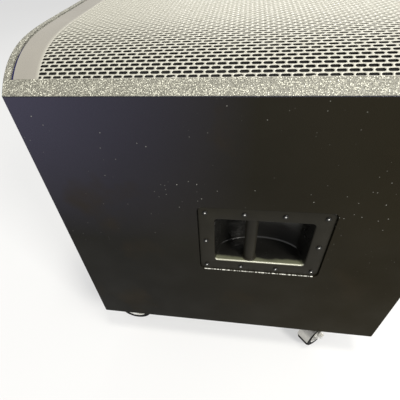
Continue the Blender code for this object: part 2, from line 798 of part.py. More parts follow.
def make_socket(name):
    """Round cable socket with a square flange."""
    x, y = on_plate(SOCKET_PLACES[name])
    flange = prism(rounded_rectangle(SOCKET_FLANGE, 0.003, 3), SKIN - 0.002, SKIN)
    body = cylinder(SOCKET_BODY, SKIN - 0.001, Z_BACK + 0.020, 24)
    bore = cylinder(SOCKET_BORE, SKIN - 0.01, SKIN + 0.014, 20)
    add(name, shifted(cut(union(flange, body), bore), x, y), "black_plastic", 40)


def make_inlet():
    x, y = on_plate(INLET_PLACE)
    flange = plate((x, y), INLET_BODY, SKIN - 0.002, SKIN)
    body_size = [length - 0.0056 for length in INLET_BODY]
    body = plate((x, y), body_size, SKIN - 0.001, Z_BACK + 0.022)
    cavity = plate((x, y), INLET_CAVITY, SKIN - 0.01, SKIN + 0.016)
    add("mains_inlet", cut(union(flange, body), cavity), "black_plastic")


def make_knob():
    """Fluted knob on a shaft that goes through the plate."""
    outline = []
    for index in range(48):
        radius = 0.0090 if index % 4 < 2 else 0.0084
        turn = 2 * math.pi * index / 48
        outline.append((radius * math.cos(turn), radius * math.sin(turn)))
    cap = prism(outline, SKIN - 0.015, SKIN - 0.001)
    pointer = plate((0.006, 0), (0.004, 0.0012), SKIN - 0.0156, SKIN - 0.0140)
    shaft = cylinder(0.0030, SKIN - 0.004, Z_BACK + 0.010, 16)
    knob = add("gain_knob", union(cap, pointer, shaft), "black_plastic", 30)
    knob.location = (*on_plate(KNOB_PLACE), 0)


def make_power_switch():
    x, y = on_plate(SWITCH_PLACE)
    flange = plate((0, 0), ROCKER_FRAME, SKIN - 0.0015, SKIN)
    body_size = [length - 0.0020 for length in ROCKER_FRAME]
    body = plate((0, 0), body_size, SKIN - 0.0010, Z_BACK + 0.014)
    room = plate((0, 0), (0.0106, 0.0154), SKIN - 0.01, SKIN + 0.0095)
    add("power_switch_frame", shifted(cut(union(flange, body), room), x, y), "black_plastic")
    half = ROCKER_SIZE[1] / 2
    profile = [(-half, -0.0040), (0, -0.0028), (half, -0.0040), (half * 0.8, 0.0040), (-half * 0.8, 0.0040)]
    rocker = add(
        "power_rocker",
        prism(profile, -ROCKER_SIZE[0] / 2, ROCKER_SIZE[0] / 2, "X"),
        "black_plastic",
    )
    rocker.location = (x, y, SKIN + 0.0015)
    rocker.rotation_euler.x = math.radians(-ROCKER_TILT)


def make_small_controls():
    x, y = on_plate(MODE_PLACE)
    rest = x - MODE_TRAVEL / 2
    lever = plate((0, 0), (0.0040, 0.0030), SKIN - 0.0040, AMP_INNER + 0.001)
    foot = plate((0, 0), (0.0055, 0.0060), AMP_INNER + GAP, AMP_INNER + 0.003)
    slider = add("mode_switch", union(lever, foot), "black_plastic")
    slider.location = (rest, y, 0)
    lamp = turned(
        [
            (0, AMP_INNER + 0.004),
            (0.0024, AMP_INNER + 0.004),
            (0.0024, AMP_OUTER - 0.0008),
            (0.0015, AMP_OUTER - 0.0021),
            (0, AMP_OUTER - 0.0025),
        ],
        12,
    )
    status_led = add("status_led", lamp, "led", 40)
    status_led.location = (*on_plate(LED_PLACE), 0)


def make_amplifier():
    make_amp_panel()
    make_heatsink()
    make_chassis()
    for name in SOCKET_PLACES:
        make_socket(name)
    make_inlet()
    make_knob()
    make_power_switch()
    make_small_controls()


# Casters

FORK_TOP = 0.0878  # upper face of the fork's bridge
DISH_LOW = FORK_TOP + 0.0004
KINGPIN = 0.0060


def caster_places():
    places = {}
    for name in CASTER_YAWS:
        row, end = name.split("_")
        x = X_LOW + CASTER_INSET_X if end == "left" else X_HIGH - CASTER_INSET_X
        y = CASTER_INSET_Y - Y_HALF if row == "near" else Y_HALF - CASTER_INSET_Y
        places[name] = (x, y)
    return places


def caster_plate_shape():
    """Top plate with its bearing dish, and the kingpin that the fork hangs on."""
    top = Z_BACK - GAP
    outline = rounded_rectangle(CASTER_PLATE[:2], 0.008, 3)
    base = prism(outline, top - CASTER_PLATE[2], top)
    dish = turned(
        [
            (0, FORK_TOP - 0.0085),
            (0.0090, FORK_TOP - 0.0085),
            (0.0090, FORK_TOP - 0.0034),
            (KINGPIN, FORK_TOP - 0.0034),
            (KINGPIN, DISH_LOW),
            (0.0290, DISH_LOW),
            (0.0290, DISH_LOW + 0.0075),
            (0.0240, top - 0.0010),
            (0, top - 0.0010),
        ],
        16,
    )
    half_x, half_y = CASTER_BOLT_SPACING[0] / 2, CASTER_BOLT_SPACING[1] / 2
    hole = cylinder(0.0036, top - 0.01, top + 0.01, 6)
    holes = at_places(hole, [(x, y, 0) for x in (-half_x, half_x) for y in (-half_y, half_y)])
    return cut(union(base, dish), holes)


def fork_shape():
    """Folded fork about its swivel axis, with the axle a trail ahead along X."""
    half_width = WHEEL_WIDTH / 2 + FORK_SIDE_GAP + FORK_SHEET
    outline = [(-0.022, FORK_TOP), (-0.025, FORK_TOP - 0.004), (-0.024, FORK_TOP - 0.012)]
    eye = 0.0115
    for step in range(9):
        turn = math.radians(200 + 180 * step / 8)
        outline.append((TRAIL + eye * math.cos(turn), WHEEL_RADIUS + eye * math.sin(turn)))
    outline += [(0.032, FORK_TOP - 0.014), (0.029, FORK_TOP)]
    bridge = prism(outline, -half_width, half_width, "Y")
    wheel_room = block(
        (-0.040, FORK_SHEET - half_width, 0.0), (0.060, half_width - FORK_SHEET, FORK_TOP - 0.003)
    )
    kingpin_hole = cylinder(KINGPIN + 0.0004, FORK_TOP - 0.01, FORK_TOP + 0.01, 16)
    axle_hole = moved(
        cylinder(0.0045, -0.04, 0.04, 12),
        Matrix.Translation((TRAIL, 0, WHEEL_RADIUS)) @ Matrix.Rotation(math.radians(90), 4, "X"),
    )
    return cut(bridge, wheel_room, kingpin_hole, axle_hole)


def wheel_shape():
    """Wheel turned about its axle: round-shouldered tread, thin web and a hub with a bore."""
    half = WHEEL_WIDTH / 2
    shoulder = 0.005
    side = [
        (0.0046, half),
        (0.0115, half),
        (0.0115, half - 0.008),
        (0.0290, half - 0.008),
        (0.0290, half),
        (WHEEL_RADIUS - shoulder, half),
        (WHEEL_RADIUS, half - shoulder),
    ]
    return turned(side[::-1] + [(radius, -height) for radius, height in side], 20)


def axle_shape():
    """Bolt through the fork's legs: hexagon head at one end, domed nut at the other."""
    reach = WHEEL_WIDTH / 2 + FORK_SIDE_GAP + FORK_SHEET + GAP
    bolt = cylinder(0.0040, -reach - 0.003, reach + 0.003, 16)
    head = cylinder(0.0070, -reach - 0.0045, -reach, 6)
    nut = cylinder(0.0070, reach, reach + 0.0055, 6)
    return union(bolt, head, nut)


def make_casters():
    places = caster_places()
    lying = Matrix.Rotation(math.radians(90), 4, "X")
    for name, (x, y) in places.items():
        mount = add(f"caster_plate_{name}", caster_plate_shape(), "zinc", 40)
        mount.location = (x, y, 0)
        fork = add(f"caster_fork_{name}", fork_shape(), "zinc", 35)
        fork.location = (x, y, 0)
        fork.rotation_euler.z = math.radians(CASTER_YAWS[name])
        axle = add(f"caster_axle_{name}", moved(axle_shape(), lying), "zinc", 35)
        wheel = add(f"caster_wheel_{name}", moved(wheel_shape(), lying), "wheel", 35)
        for piece in (axle, wheel):
            piece.parent = fork
            piece.location = (TRAIL, 0, WHEEL_RADIUS)


clear_scene()
MATERIALS = make_materials()
make_cabinet()
make_bezel()
make_grille()
make_handle(-1, "near")
make_handle(1, "far")
make_pole_socket()
make_woofer()
make_amplifier()
make_casters()
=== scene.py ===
"""Looks of the bass cabinet: fine pieces, procedural materials, camera and light.

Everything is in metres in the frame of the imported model: the grille faces up (+Z), the
cabinet's height in use runs along X and its width along Y.
"""

import json
import math

import bmesh
import bpy
import numpy as np
from mathutils import Matrix, Vector


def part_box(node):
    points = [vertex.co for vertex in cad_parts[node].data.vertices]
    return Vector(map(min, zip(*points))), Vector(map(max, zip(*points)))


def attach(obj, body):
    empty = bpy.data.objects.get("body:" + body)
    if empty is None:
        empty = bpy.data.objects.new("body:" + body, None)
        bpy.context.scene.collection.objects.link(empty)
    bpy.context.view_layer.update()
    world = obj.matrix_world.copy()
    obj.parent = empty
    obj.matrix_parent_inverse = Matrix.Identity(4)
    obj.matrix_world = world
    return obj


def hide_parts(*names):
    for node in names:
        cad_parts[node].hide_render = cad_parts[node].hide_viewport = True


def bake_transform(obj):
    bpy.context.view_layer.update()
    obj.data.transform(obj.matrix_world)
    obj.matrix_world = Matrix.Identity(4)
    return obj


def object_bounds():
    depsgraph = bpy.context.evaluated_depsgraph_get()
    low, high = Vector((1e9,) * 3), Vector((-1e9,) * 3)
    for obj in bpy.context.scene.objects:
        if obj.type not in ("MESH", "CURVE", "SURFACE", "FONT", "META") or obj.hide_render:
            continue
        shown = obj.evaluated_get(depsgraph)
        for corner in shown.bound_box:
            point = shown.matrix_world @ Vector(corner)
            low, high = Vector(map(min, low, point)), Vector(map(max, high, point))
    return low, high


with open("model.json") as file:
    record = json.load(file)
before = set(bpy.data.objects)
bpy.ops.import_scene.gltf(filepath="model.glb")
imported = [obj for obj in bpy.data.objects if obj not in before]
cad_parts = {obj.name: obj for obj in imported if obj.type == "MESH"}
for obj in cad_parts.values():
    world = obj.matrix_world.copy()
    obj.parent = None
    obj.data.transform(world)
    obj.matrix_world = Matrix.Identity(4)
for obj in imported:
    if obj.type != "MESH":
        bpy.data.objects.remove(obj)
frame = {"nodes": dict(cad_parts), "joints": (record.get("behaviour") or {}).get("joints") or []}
cad_low, cad_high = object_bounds()

# Places read from the frame
BODY_LOW, BODY_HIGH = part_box("side_panel_near")
X_LOW, X_HIGH = BODY_LOW.x, BODY_HIGH.x
X_MIDDLE = (X_LOW + X_HIGH) / 2
Y_HALF = (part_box("side_panel_far")[1].y - BODY_LOW.y) / 2
Z_EDGE = BODY_HIGH.z
BEZEL_LOW, BEZEL_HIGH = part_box("front_bezel")
GRILLE_LOW, GRILLE_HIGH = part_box("front_grille")

# Arched front, as in the design: a lip, then a rise that falls off with a high power of y
GAP = 0.0003
ARCH_LIP = 0.0015
ARCH_POWER = 6
ARCH_RISE = BEZEL_HIGH.z - BEZEL_LOW.z - ARCH_LIP
SHEET = 0.0013
BEZEL_LEDGE = 0.008
BEZEL_END = 0.011
BEZEL_ROUNDING = 0.003
SEAT_DEPTH = 0.0022  # from the arch to the ledge that the grille rests on
FLANGE_DROP = 0.006
GASKET_DROP = 0.0022
GASKET_THICK = 0.003
ARCH_STEPS = 96

# Grille pattern
SLOT_PITCH = 0.01295
SLOT_LENGTH = 0.0110
SLOT_WIDTH = 0.0042
ROW_PITCH = 0.00542
PLAIN_STRIP = 0.0488  # from the cabinet's end to the first slot
FIRST_ROW = 0.0170  # first row of slots, behind the side panel's face
SHORTEST_SLOT = 0.0025

# Handles
POCKET = (0.155, 0.103)
POCKET_CORNER = 0.006
POCKET_STRAIGHT = 0.020
POCKET_FILLET = 0.0042
HANDLE_DEPTH = 0.0600  # from the plate's face to the scoop's back
CUP_WALL = 0.0022
PLATE_THICK = 0.0025
PLATE_CORNER = 0.008
PLATE_EDGE = 0.0008
PLATE_MARGIN = 0.0015
# depth of the strip painted as a highlight on the rebate's lower wall
REBATE_HIGHLIGHT_DEPTH = 0.0019
LIP = 0.0022
DRAFT = 0.0050  # lean of the pocket's two end walls
SIDE_WALL_DRAFT = 0.0010
CORNER_STEPS = 6
SIDE_STEPS = (30, 10)
BAR_FLARE = 0.0025
HANDLE_SCREW_ROWS = (-0.0655, 0.0655)
HANDLE_SCREW_COLUMNS = (-0.0915, -0.0305, 0.0305, 0.0915)

# Casters
CASTERS = ("near_left", "near_right", "far_left", "far_right")
TYRE_HALF_WIDTH = 0.016
TREAD_RADIUS = 0.006
WHEEL_RIM = 0.0275
GUARD_ANGLES = (6, 86)  # about the axle, from straight ahead
GUARD_HALF_WIDTH = 0.0145
GUARD_REACH = (0.0012, 0.0026)  # inner and outer face, beyond the tread
GUARD_STEPS = 24

# Fasteners: head radius, head height, shank radius, shank length
HANDLE_SCREW = (0.0038, 0.0022, 0.0014, 0.009)
CASTER_BOLT = (0.0060, 0.0036, 0.0030, 0.0145)
AMP_SCREW = (0.0042, 0.0024, 0.0017, 0.0125)
POLE_SCREW = (0.0036, 0.0014, 0.0016, 0.010)
WOOFER_SCREW = (0.0055, 0.0040, 0.0026, 0.0175)
CASTER_BOLT_PLACES = [(x, y) for x in (-0.040, 0.040) for y in (-0.030, 0.030)]
CASTER_PLATE_THICK = 0.003
AMP_SCREW_INSET = 0.0065
POLE_SCREW_CIRCLE = 0.038
WOOFER_SCREW_CIRCLE = 0.2205

# Woofer surround
SURROUND_SECTORS = 12
SURROUND_STEPS = 8  # per sector
ROLL_STEPS = 16
SURROUND_SHEET = 0.0012
SURROUND_ROLL = (0.1760, 0.1990)  # radii of the roll's two feet
SURROUND_RIM = 0.1700
CONE_REACH = 0.1785  # everything inside this radius moves with the cone

# Stage
FLOOR_HALF = 12
FLOOR_GLOW = 0.525
WORLD_STRENGTH = 0.55
CAMERA_AT = (0.0055, -0.6046, 0.7929)
CAMERA_PITCH = 44.03
CAMERA_HEADING = 11.67
CAMERA_ROLL = -5.14
CAMERA_LENS = 28.6
CAMERA_SHIFT = (0.0249, 0.0339)


# Mesh helpers


def mesh_object(name, points, faces, smooth=40):
    """A mesh with outward normals, smooth up to an angle in degrees between its faces."""
    mesh = bpy.data.meshes.new(name)
    mesh.from_pydata([tuple(point) for point in points], [], faces)
    mesh.validate()
    obj = bpy.data.objects.new(name, mesh)
    bpy.context.scene.collection.objects.link(obj)
    shape = bmesh.new()
    shape.from_mesh(mesh)
    bmesh.ops.recalc_face_normals(shape, faces=shape.faces)
    shape.to_mesh(mesh)
    shape.free()
    shade(mesh, smooth)
    return obj


def shade(mesh, smooth):
    mesh.shade_smooth()
    mesh.set_sharp_from_angle(angle=math.radians(smooth))


def ring_faces(rings, count, caps=True):
    """Quads between rings of the same number of points, numbered ring by ring."""
    faces = []
    for ring in range(rings - 1):
        low, high = ring * count, (ring + 1) * count
        for index in range(count):
            after = (index + 1) % count
            faces.append((low + index, low + after, high + after, high + index))
    if caps:
        faces.append(tuple(range(count))[::-1])
        faces.append(tuple(range((rings - 1) * count, rings * count)))
    return faces


def quarter_turn(steps, first=0):
    """(cosine, sine) at even steps along a quarter circle."""
    turns = [math.pi / 2 * step / steps for step in range(first, steps + 1)]
    return [(math.cos(turn), math.sin(turn)) for turn in turns]


def turned(name, profile, segments, smooth=35):
    """Turns a closed (radius, height) outline about Z."""
    points = []
    for step in range(segments):
        turn = 2 * math.pi * step / segments
        points += [(r * math.cos(turn), r * math.sin(turn), h) for r, h in profile]
    count = len(profile)
    faces = []
    for step in range(segments):
        low, high = step * count, (step + 1) % segments * count
        for index in range(count):
            after = (index + 1) % count
            faces.append((low + index, low + after, high + after, high + index))
    obj = mesh_object(name, points, faces, smooth)
    shape = bmesh.new()
    shape.from_mesh(obj.data)
    bmesh.ops.remove_doubles(shape, verts=shape.verts, dist=1e-6)
    bmesh.ops.recalc_face_normals(shape, faces=shape.faces)
    shape.to_mesh(obj.data)
    shape.free()
    shade(obj.data, smooth)
    return obj


def rounded_rectangle(width, height, radius):
    """Anticlockwise outline with round corners, and extra points along its straight sides."""
    arcs = []
    for quarter, (side_x, side_y) in enumerate(((1, 1), (-1, 1), (-1, -1), (1, -1))):
        corner = Vector((side_x * (width / 2 - radius), side_y * (height / 2 - radius)))
        turns = [math.pi / 2 * (quarter + step / CORNER_STEPS) for step in range(CORNER_STEPS + 1)]
        arcs.append([corner + radius * Vector((math.cos(turn), math.sin(turn))) for turn in turns])
    points = []
    for quarter, arc in enumerate(arcs):
        start, end = arc[-1], arcs[(quarter + 1) % 4][0]
        extra = SIDE_STEPS[quarter % 2]
        points += arc + [start.lerp(end, step / extra) for step in range(1, extra)]
    return points


def cut(obj, tool):
    """Cuts a tool's shape out of an object and removes the tool."""
    modifier = obj.modifiers.new("boolean", "BOOLEAN")
    modifier.operation = "DIFFERENCE"
    modifier.solver = "EXACT"
    modifier.object = tool
    graph = bpy.context.evaluated_depsgraph_get()
    mesh = bpy.data.meshes.new_from_object(obj.evaluated_get(graph))
    obj.modifiers.clear()
    obj.data = mesh
    bpy.data.objects.remove(tool, do_unlink=True)


def bevelled(obj, width, segments=2):
    modifier = obj.modifiers.new("bevel", "BEVEL")
    modifier.width = width
    modifier.segments = segments
    modifier.limit_method = "ANGLE"
    modifier.angle_limit = math.radians(30)
    modifier.harden_normals = True


def copies(name, pattern, matrices):
    """One object with a copy of a pattern at each matrix. The pattern is removed."""
    group = bmesh.new()
    for matrix in matrices:
        mesh = pattern.data.copy()
        mesh.transform(matrix)
        group.from_mesh(mesh)
    bpy.data.objects.remove(pattern, do_unlink=True)
    mesh = bpy.data.meshes.new(name)
    group.to_mesh(mesh)
    group.free()
    obj = bpy.data.objects.new(name, mesh)
    bpy.context.scene.collection.objects.link(obj)
    shade(mesh, 35)
    return obj


def dress(obj, material):
    obj.data.materials.clear()
    obj.data.materials.append(material)


# Materials


class Surface:
    """A Principled material with procedural colour, roughness and bump in object space."""

    def __init__(self, name, colour, roughness, metallic=0.0, specular=0.5):
        self.material = bpy.data.materials.new(name)
        self.material.use_nodes = True
        self.nodes = self.material.node_tree.nodes
        self.links = self.material.node_tree.links
        self.shader = self.nodes["Principled BSDF"]
        self.shader.inputs["Base Color"].default_value = (*colour, 1.0)
        self.shader.inputs["Roughness"].default_value = roughness
        self.shader.inputs["Metallic"].default_value = metallic
        self.shader.inputs["Specular IOR Level"].default_value = specular
        self.place = self.nodes.new("ShaderNodeTexCoord").outputs["Object"]
        self.normal = None

    def node(self, kind, **values):
        """A new node, with values for its sockets, or for its settings where it has no such one."""
        made = self.nodes.new(kind)
        for key, value in values.items():
            if key in made.inputs:
                made.inputs[key].default_value = value
            else:
                setattr(made, key, value)
        return made

    def noise(self, scale, detail=3.0, stretch=None):
        texture = self.node("ShaderNodeTexNoise", Scale=scale, Detail=detail)
        self.links.new(self.stretched(stretch), texture.inputs["Vector"])
        return texture.outputs["Fac"]

    def cells(self, scale, output="Distance", feature="F1"):
        texture = self.node("ShaderNodeTexVoronoi", Scale=scale, feature=feature)
        self.links.new(self.place, texture.inputs["Vector"])
        return texture.outputs[output]

    def stretched(self, stretch):
        if stretch is None:
            return self.place
        mapping = self.node("ShaderNodeMapping", Scale=stretch)
        self.links.new(self.place, mapping.inputs["Vector"])
        return mapping.outputs["Vector"]

    def between(self, factor, low, high, to_low=0.0, to_high=1.0):
        """Maps a value's range to another range, clamped."""
        mapped = self.node("ShaderNodeMapRange")
        for key, value in (("From Min", low), ("From Max", high), ("To Min", to_low)):
            mapped.inputs[key].default_value = value
        mapped.inputs["To Max"].default_value = to_high
        self.links.new(factor, mapped.inputs["Value"])
        return mapped.outputs["Result"]

    def chance(self, scale):
        """A random value from 0 to 1 for each cell."""
        split = self.node("ShaderNodeSeparateColor")
        self.links.new(self.cells(scale, "Color"), split.inputs["Color"])
        return split.outputs["Red"]

    def part(self, vector, axis):
        split = self.node("ShaderNodeSeparateXYZ")
        self.links.new(vector, split.inputs["Vector"])
        return split.outputs[axis]

    def along(self, axis):
        """Object coordinate along X, Y or Z, in metres."""
        return self.part(self.place, axis)

    def maths(self, operation, *values):
        made = self.node("ShaderNodeMath", operation=operation)
        for value, socket in zip(values, made.inputs):
            self.links.new(value, socket)
        return made.outputs["Value"]

    def multiply(self, first, second):
        return self.maths("MULTIPLY", first, second)

    def mix(self, factor, first, second):
        """Mixes two colours, each a tuple or a socket."""
        mixer = self.node("ShaderNodeMix", data_type="RGBA")
        self.links.new(factor, mixer.inputs[0])
        for index, colour in ((6, first), (7, second)):
            if isinstance(colour, tuple):
                mixer.inputs[index].default_value = (*colour, 1.0)
            else:
                self.links.new(colour, mixer.inputs[index])
        return mixer.outputs[2]

    def colour(self, socket):
        self.links.new(socket, self.shader.inputs["Base Color"])

    def roughness(self, socket):
        self.links.new(socket, self.shader.inputs["Roughness"])

    def bump(self, height, distance, strength=1.0):
        """Adds a bump layer on top of those before it. Distance is in metres."""
        bumped = self.node("ShaderNodeBump", Strength=strength, Distance=distance)
        self.links.new(height, bumped.inputs["Height"])
        if self.normal is not None:
            self.links.new(self.normal, bumped.inputs["Normal"])
        self.normal = bumped.outputs["Normal"]
        self.links.new(self.normal, self.shader.inputs["Normal"])


def cabinet_paint():
    """Satin black roller paint with orange peel, smudges and specks of dust, a painted bluish
    reflection on the near side towards low X and the bezel, and a painted warm reflection towards
    high X.
    """
    paint = Surface("cabinet_paint", (0.012, 0.012, 0.011), 0.62, specular=0.05)
    paint.shader.inputs["Specular Tint"].default_value = (1.0, 0.93, 0.78, 1.0)
    smudge = paint.between(paint.noise(5.0, 4.0), 0.35, 0.70)
    # painted warm reflection: the paint turns warmer towards high X
    warm_reflection = paint.between(paint.along("X"), X_MIDDLE - 0.20, X_MIDDLE + 0.22)
    dark = paint.mix(warm_reflection, (0.0098, 0.0096, 0.0086), (0.0112, 0.0094, 0.0050))
    light = paint.mix(warm_reflection, (0.0126, 0.0123, 0.0112), (0.0140, 0.0118, 0.0066))
    # painted bluish reflection on the near side, towards low X and the bezel
    bluish_reflection = paint.multiply(
        paint.between(paint.along("X"), X_MIDDLE + 0.02, X_LOW),
        paint.between(paint.along("Z"), Z_EDGE - 0.26, Z_EDGE + 0.02),
    )
    bluish_reflection = paint.multiply(bluish_reflection, paint.between(paint.along("Y"), 0.03 - Y_HALF, 0.01 - Y_HALF))
    base = paint.mix(bluish_reflection, paint.mix(smudge, dark, light), (0.0400, 0.0385, 0.0620))
    speck = paint.between(paint.cells(170.0), 0.16, 0.07)
    chosen = paint.between(paint.chance(170.0), 0.86, 0.95)
    dusty = paint.between(paint.noise(9.0, 3.0), 0.36, 0.60)
    upper = paint.between(paint.along("Z"), Z_EDGE - 0.30, Z_EDGE - 0.12, 0.10, 1.0)
    dust_and_painted_light = paint.multiply(paint.multiply(speck, chosen), paint.multiply(dusty, upper))
    stain = paint.between(paint.noise(7.5, 5.0), 0.60, 0.78, 0.0, 0.8)
    base = paint.mix(stain, base, (0.0190, 0.0145, 0.0085))
    paint.colour(paint.mix(dust_and_painted_light, base, (0.30, 0.30, 0.27)))
    paint.roughness(paint.between(paint.noise(14.0, 5.0), 0.3, 0.7, 0.54, 0.72))
    paint.bump(paint.noise(620.0, 2.0), 0.00025, 0.45)
    return paint.material


def bezel_paint():
    """Coarse pebbled paint: rounded grains a millimetre or two across, with painted highlights on
    their tips, painted shade in the pits between them and a painted shadow line along the bottom
    edge.
    """
    paint = Surface("bezel_paint", (0.30, 0.29, 0.24), 0.40)
    grain = 720.0
    distance = paint.cells(grain)
    chance = paint.chance(grain)
    # painted highlights on the tips of the brighter grains
    tip = paint.multiply(paint.between(chance, 0.52, 0.92), paint.between(distance, 0.55, 0.20))
    # painted shade in the pits between grains
    pit_shade = paint.between(distance, 0.36, 0.66)
    base = paint.mix(chance, (0.175, 0.170, 0.140), (0.355, 0.346, 0.284))
    lit = paint.mix(tip, base, (0.90, 0.89, 0.755))
    grains = paint.mix(pit_shade, lit, (0.115, 0.112, 0.092))
    # painted shadow line along the bezel's bottom edge
    shadow_line = paint.between(paint.along("Z"), BEZEL_LOW.z + 0.0016, BEZEL_LOW.z + 0.0008)
    paint.colour(paint.mix(shadow_line, grains, (0.006, 0.006, 0.016)))
    paint.roughness(paint.between(paint.noise(900.0, 3.0), 0.3, 0.7, 0.30, 0.50))
    dome = paint.between(paint.cells(grain, feature="SMOOTH_F1"), 0.0, 0.75, 1.0, 0.0)
    paint.bump(dome, 0.0008, 1.0)
    paint.bump(paint.noise(1500.0, 2.0), 0.0002, 0.5)
    return paint.material


def grille_paint():
    """Fine powder coat on steel sheet; the slotted field is painted lighter, a painted highlight
    standing in for light caught on the slot rims.
    """
    coat = Surface("grille_paint", (0.30, 0.295, 0.265), 0.42)
    tone = coat.between(coat.noise(9.0, 5.0), 0.3, 0.7)
    base = coat.mix(tone, (0.226, 0.213, 0.188), (0.259, 0.245, 0.216))
    low, high = X_LOW + PLAIN_STRIP, X_HIGH - PLAIN_STRIP
    # painted highlight: the slotted field between the plain strips is painted lighter
    inside = coat.multiply(
        coat.between(coat.along("X"), low - 0.004, low + 0.004),
        coat.between(coat.along("X"), high + 0.004, high - 0.004),
    )
    coat.colour(coat.mix(inside, base, (0.385, 0.376, 0.326)))
    coat.roughness(coat.between(coat.noise(60.0, 3.0), 0.3, 0.7, 0.36, 0.48))
    coat.bump(coat.noise(1600.0, 2.0), 0.00012, 0.5)
    return coat.material


def plastic(name, colour, roughness, grain=1200.0, depth=0.00012, specular=0.4):
    """Moulded plastic with a fine spark-eroded grain and slight colour variation."""
    skin = Surface(name, colour, roughness, specular=specular)
    tone = skin.between(skin.noise(18.0, 4.0), 0.3, 0.7)
    darker = tuple(value * 0.82 for value in colour)
    lighter = tuple(value * 1.18 for value in colour)
    skin.colour(skin.mix(tone, darker, lighter))
    gloss = skin.between(skin.noise(45.0, 3.0), 0.3, 0.7, roughness - 0.06, roughness + 0.08)
    skin.roughness(gloss)
    skin.bump(skin.noise(grain, 2.0), depth, 0.5)
    return skin.material


def pocket_moulding(colour):
    """Smooth side of the handle's moulding, with painted light: a pale strip where it faces up just
    inside the opening, and a brighter painted highlight on the lip.
    """
    skin = Surface("handle_pocket", colour, 0.24, specular=0.75)
    facing = skin.node("ShaderNodeNewGeometry").outputs["Normal"]
    # painted light: a pale strip on upward faces just inside the opening, ragged at its inner edge
    upward = skin.between(skin.part(facing, "Z"), 0.35, 0.80)
    beside = skin.maths("ABSOLUTE", skin.along("Y"))
    ragged = skin.between(skin.noise(26.0, 3.0), 0.3, 0.7, -0.0030, 0.0030)
    reach = skin.maths("ADD", beside, ragged)
    strip = skin.between(reach, Y_HALF - 0.0155, Y_HALF - 0.0105)
    # painted highlight along the lip
    lip_highlight = skin.between(beside, Y_HALF - 0.0062, Y_HALF - 0.0044)
    dust_and_painted_light = skin.mix(skin.noise(200.0, 3.0), (0.070, 0.073, 0.046), (0.105, 0.108, 0.072))
    dust_and_painted_light = skin.mix(lip_highlight, dust_and_painted_light, (0.38, 0.38, 0.30))
    skin.colour(skin.mix(skin.multiply(upward, strip), colour, dust_and_painted_light))
    skin.roughness(skin.between(skin.noise(45.0, 3.0), 0.3, 0.7, 0.20, 0.28))
    skin.bump(skin.noise(600.0, 1.0), 0.00002, 0.1)
    return skin.material


def metal(name, colour, roughness, brush=None):
    """Bare or plated metal, brushed along an axis if asked, with patchy tarnish."""
    skin = Surface(name, colour, roughness, metallic=1.0)
    tarnish = tuple(value * 0.72 for value in colour)
    patches = skin.between(skin.noise(55.0, 6.0), 0.38, 0.72)
    skin.colour(skin.mix(patches, colour, tarnish))
    wear = skin.noise(140.0, 4.0, brush)
    skin.roughness(skin.between(wear, 0.3, 0.7, roughness - 0.08, roughness + 0.12))
    skin.bump(skin.noise(420.0, 3.0, brush), 0.00010, 0.35)
    return skin.material


def rubber(name, colour, roughness=0.75, greying=0.05, specular=0.3):
    """Dull rubber, greyed in random patches."""
    skin = Surface(name, colour, roughness, specular=specular)
    dust_and_painted_light = skin.between(skin.noise(70.0, 6.0), 0.45, 0.75)
    skin.colour(skin.mix(dust_and_painted_light, colour, tuple(value + greying for value in colour)))
    skin.roughness(skin.between(skin.noise(200.0, 3.0), 0.3, 0.7, roughness - 0.1, roughness + 0.1))
    skin.bump(skin.noise(800.0, 3.0), 0.00015, 0.5)
    return skin.material


def rebate_highlight_paint():
    """Cut edge of the handle's rebate: a painted highlight in short pale dashes, standing in for
    light on its up-facing wall.
    """
    edge = Surface("rebate_highlight_paint", (0.5, 0.5, 0.47), 0.35)
    dashes = edge.between(edge.noise(420.0, 3.0, (1.0, 0.2, 0.2)), 0.42, 0.56)
    tone = edge.mix(edge.noise(900.0, 2.0), (0.55, 0.54, 0.48), (0.95, 0.95, 0.90))
    # pale dashes of painted highlight over a near-black edge
    edge.colour(edge.mix(dashes, (0.05, 0.048, 0.04), tone))
    edge.roughness(edge.between(edge.noise(500.0, 3.0), 0.3, 0.7, 0.30, 0.50))
    edge.bump(edge.noise(700.0, 3.0), 0.0004, 0.8)
    return edge.material


def plywood():
    """Bare birch plywood: long grain over warm patches."""
    wood = Surface("plywood", (0.45, 0.31, 0.17), 0.7)
    grain = wood.noise(40.0, 6.0, (1.0, 14.0, 14.0))
    wood.colour(wood.mix(wood.between(grain, 0.3, 0.7), (0.40, 0.26, 0.13), (0.56, 0.41, 0.24)))
    wood.bump(grain, 0.0003, 0.5)
    return wood.material


def foam():
    """Open-cell foam: dark pores all over."""
    skin = Surface("foam", (0.010, 0.010, 0.010), 0.95, specular=0.1)
    pores = skin.cells(900.0)
    open_cells = skin.between(pores, 0.1, 0.5)
    skin.colour(skin.mix(open_cells, (0.003, 0.003, 0.003), (0.016, 0.016, 0.016)))
    skin.bump(pores, 0.0006, 0.8)
    return skin.material


def woven(name, colour):
    """Doped cloth: two crossed sets of threads."""
    cloth = Surface(name, colour, 0.85)
    over = cloth.node("ShaderNodeTexWave", Scale=240.0, Distortion=0.5, bands_direction="X")
    under = cloth.node("ShaderNodeTexWave", Scale=240.0, Distortion=0.5, bands_direction="Y")
    for wave in (over, under):
        cloth.links.new(cloth.place, wave.inputs["Vector"])
    weave = cloth.multiply(over.outputs["Fac"], under.outputs["Fac"])
    cloth.colour(cloth.mix(weave, tuple(value * 0.6 for value in colour), colour))
    cloth.bump(weave, 0.0003, 0.8)
    return cloth.material


def copper_wire():
    """Enamelled wire, wound close."""
    wire = Surface("copper_wire", (0.70, 0.32, 0.15), 0.35, metallic=1.0)
    turns = wire.node("ShaderNodeTexWave", Scale=420.0, Distortion=0.8, bands_direction="Z")
    wire.links.new(wire.place, turns.inputs["Vector"])
    wire.colour(wire.mix(turns.outputs["Fac"], (0.42, 0.16, 0.06), (0.78, 0.40, 0.20)))
    wire.bump(turns.outputs["Fac"], 0.0003, 0.7)
    return wire.material


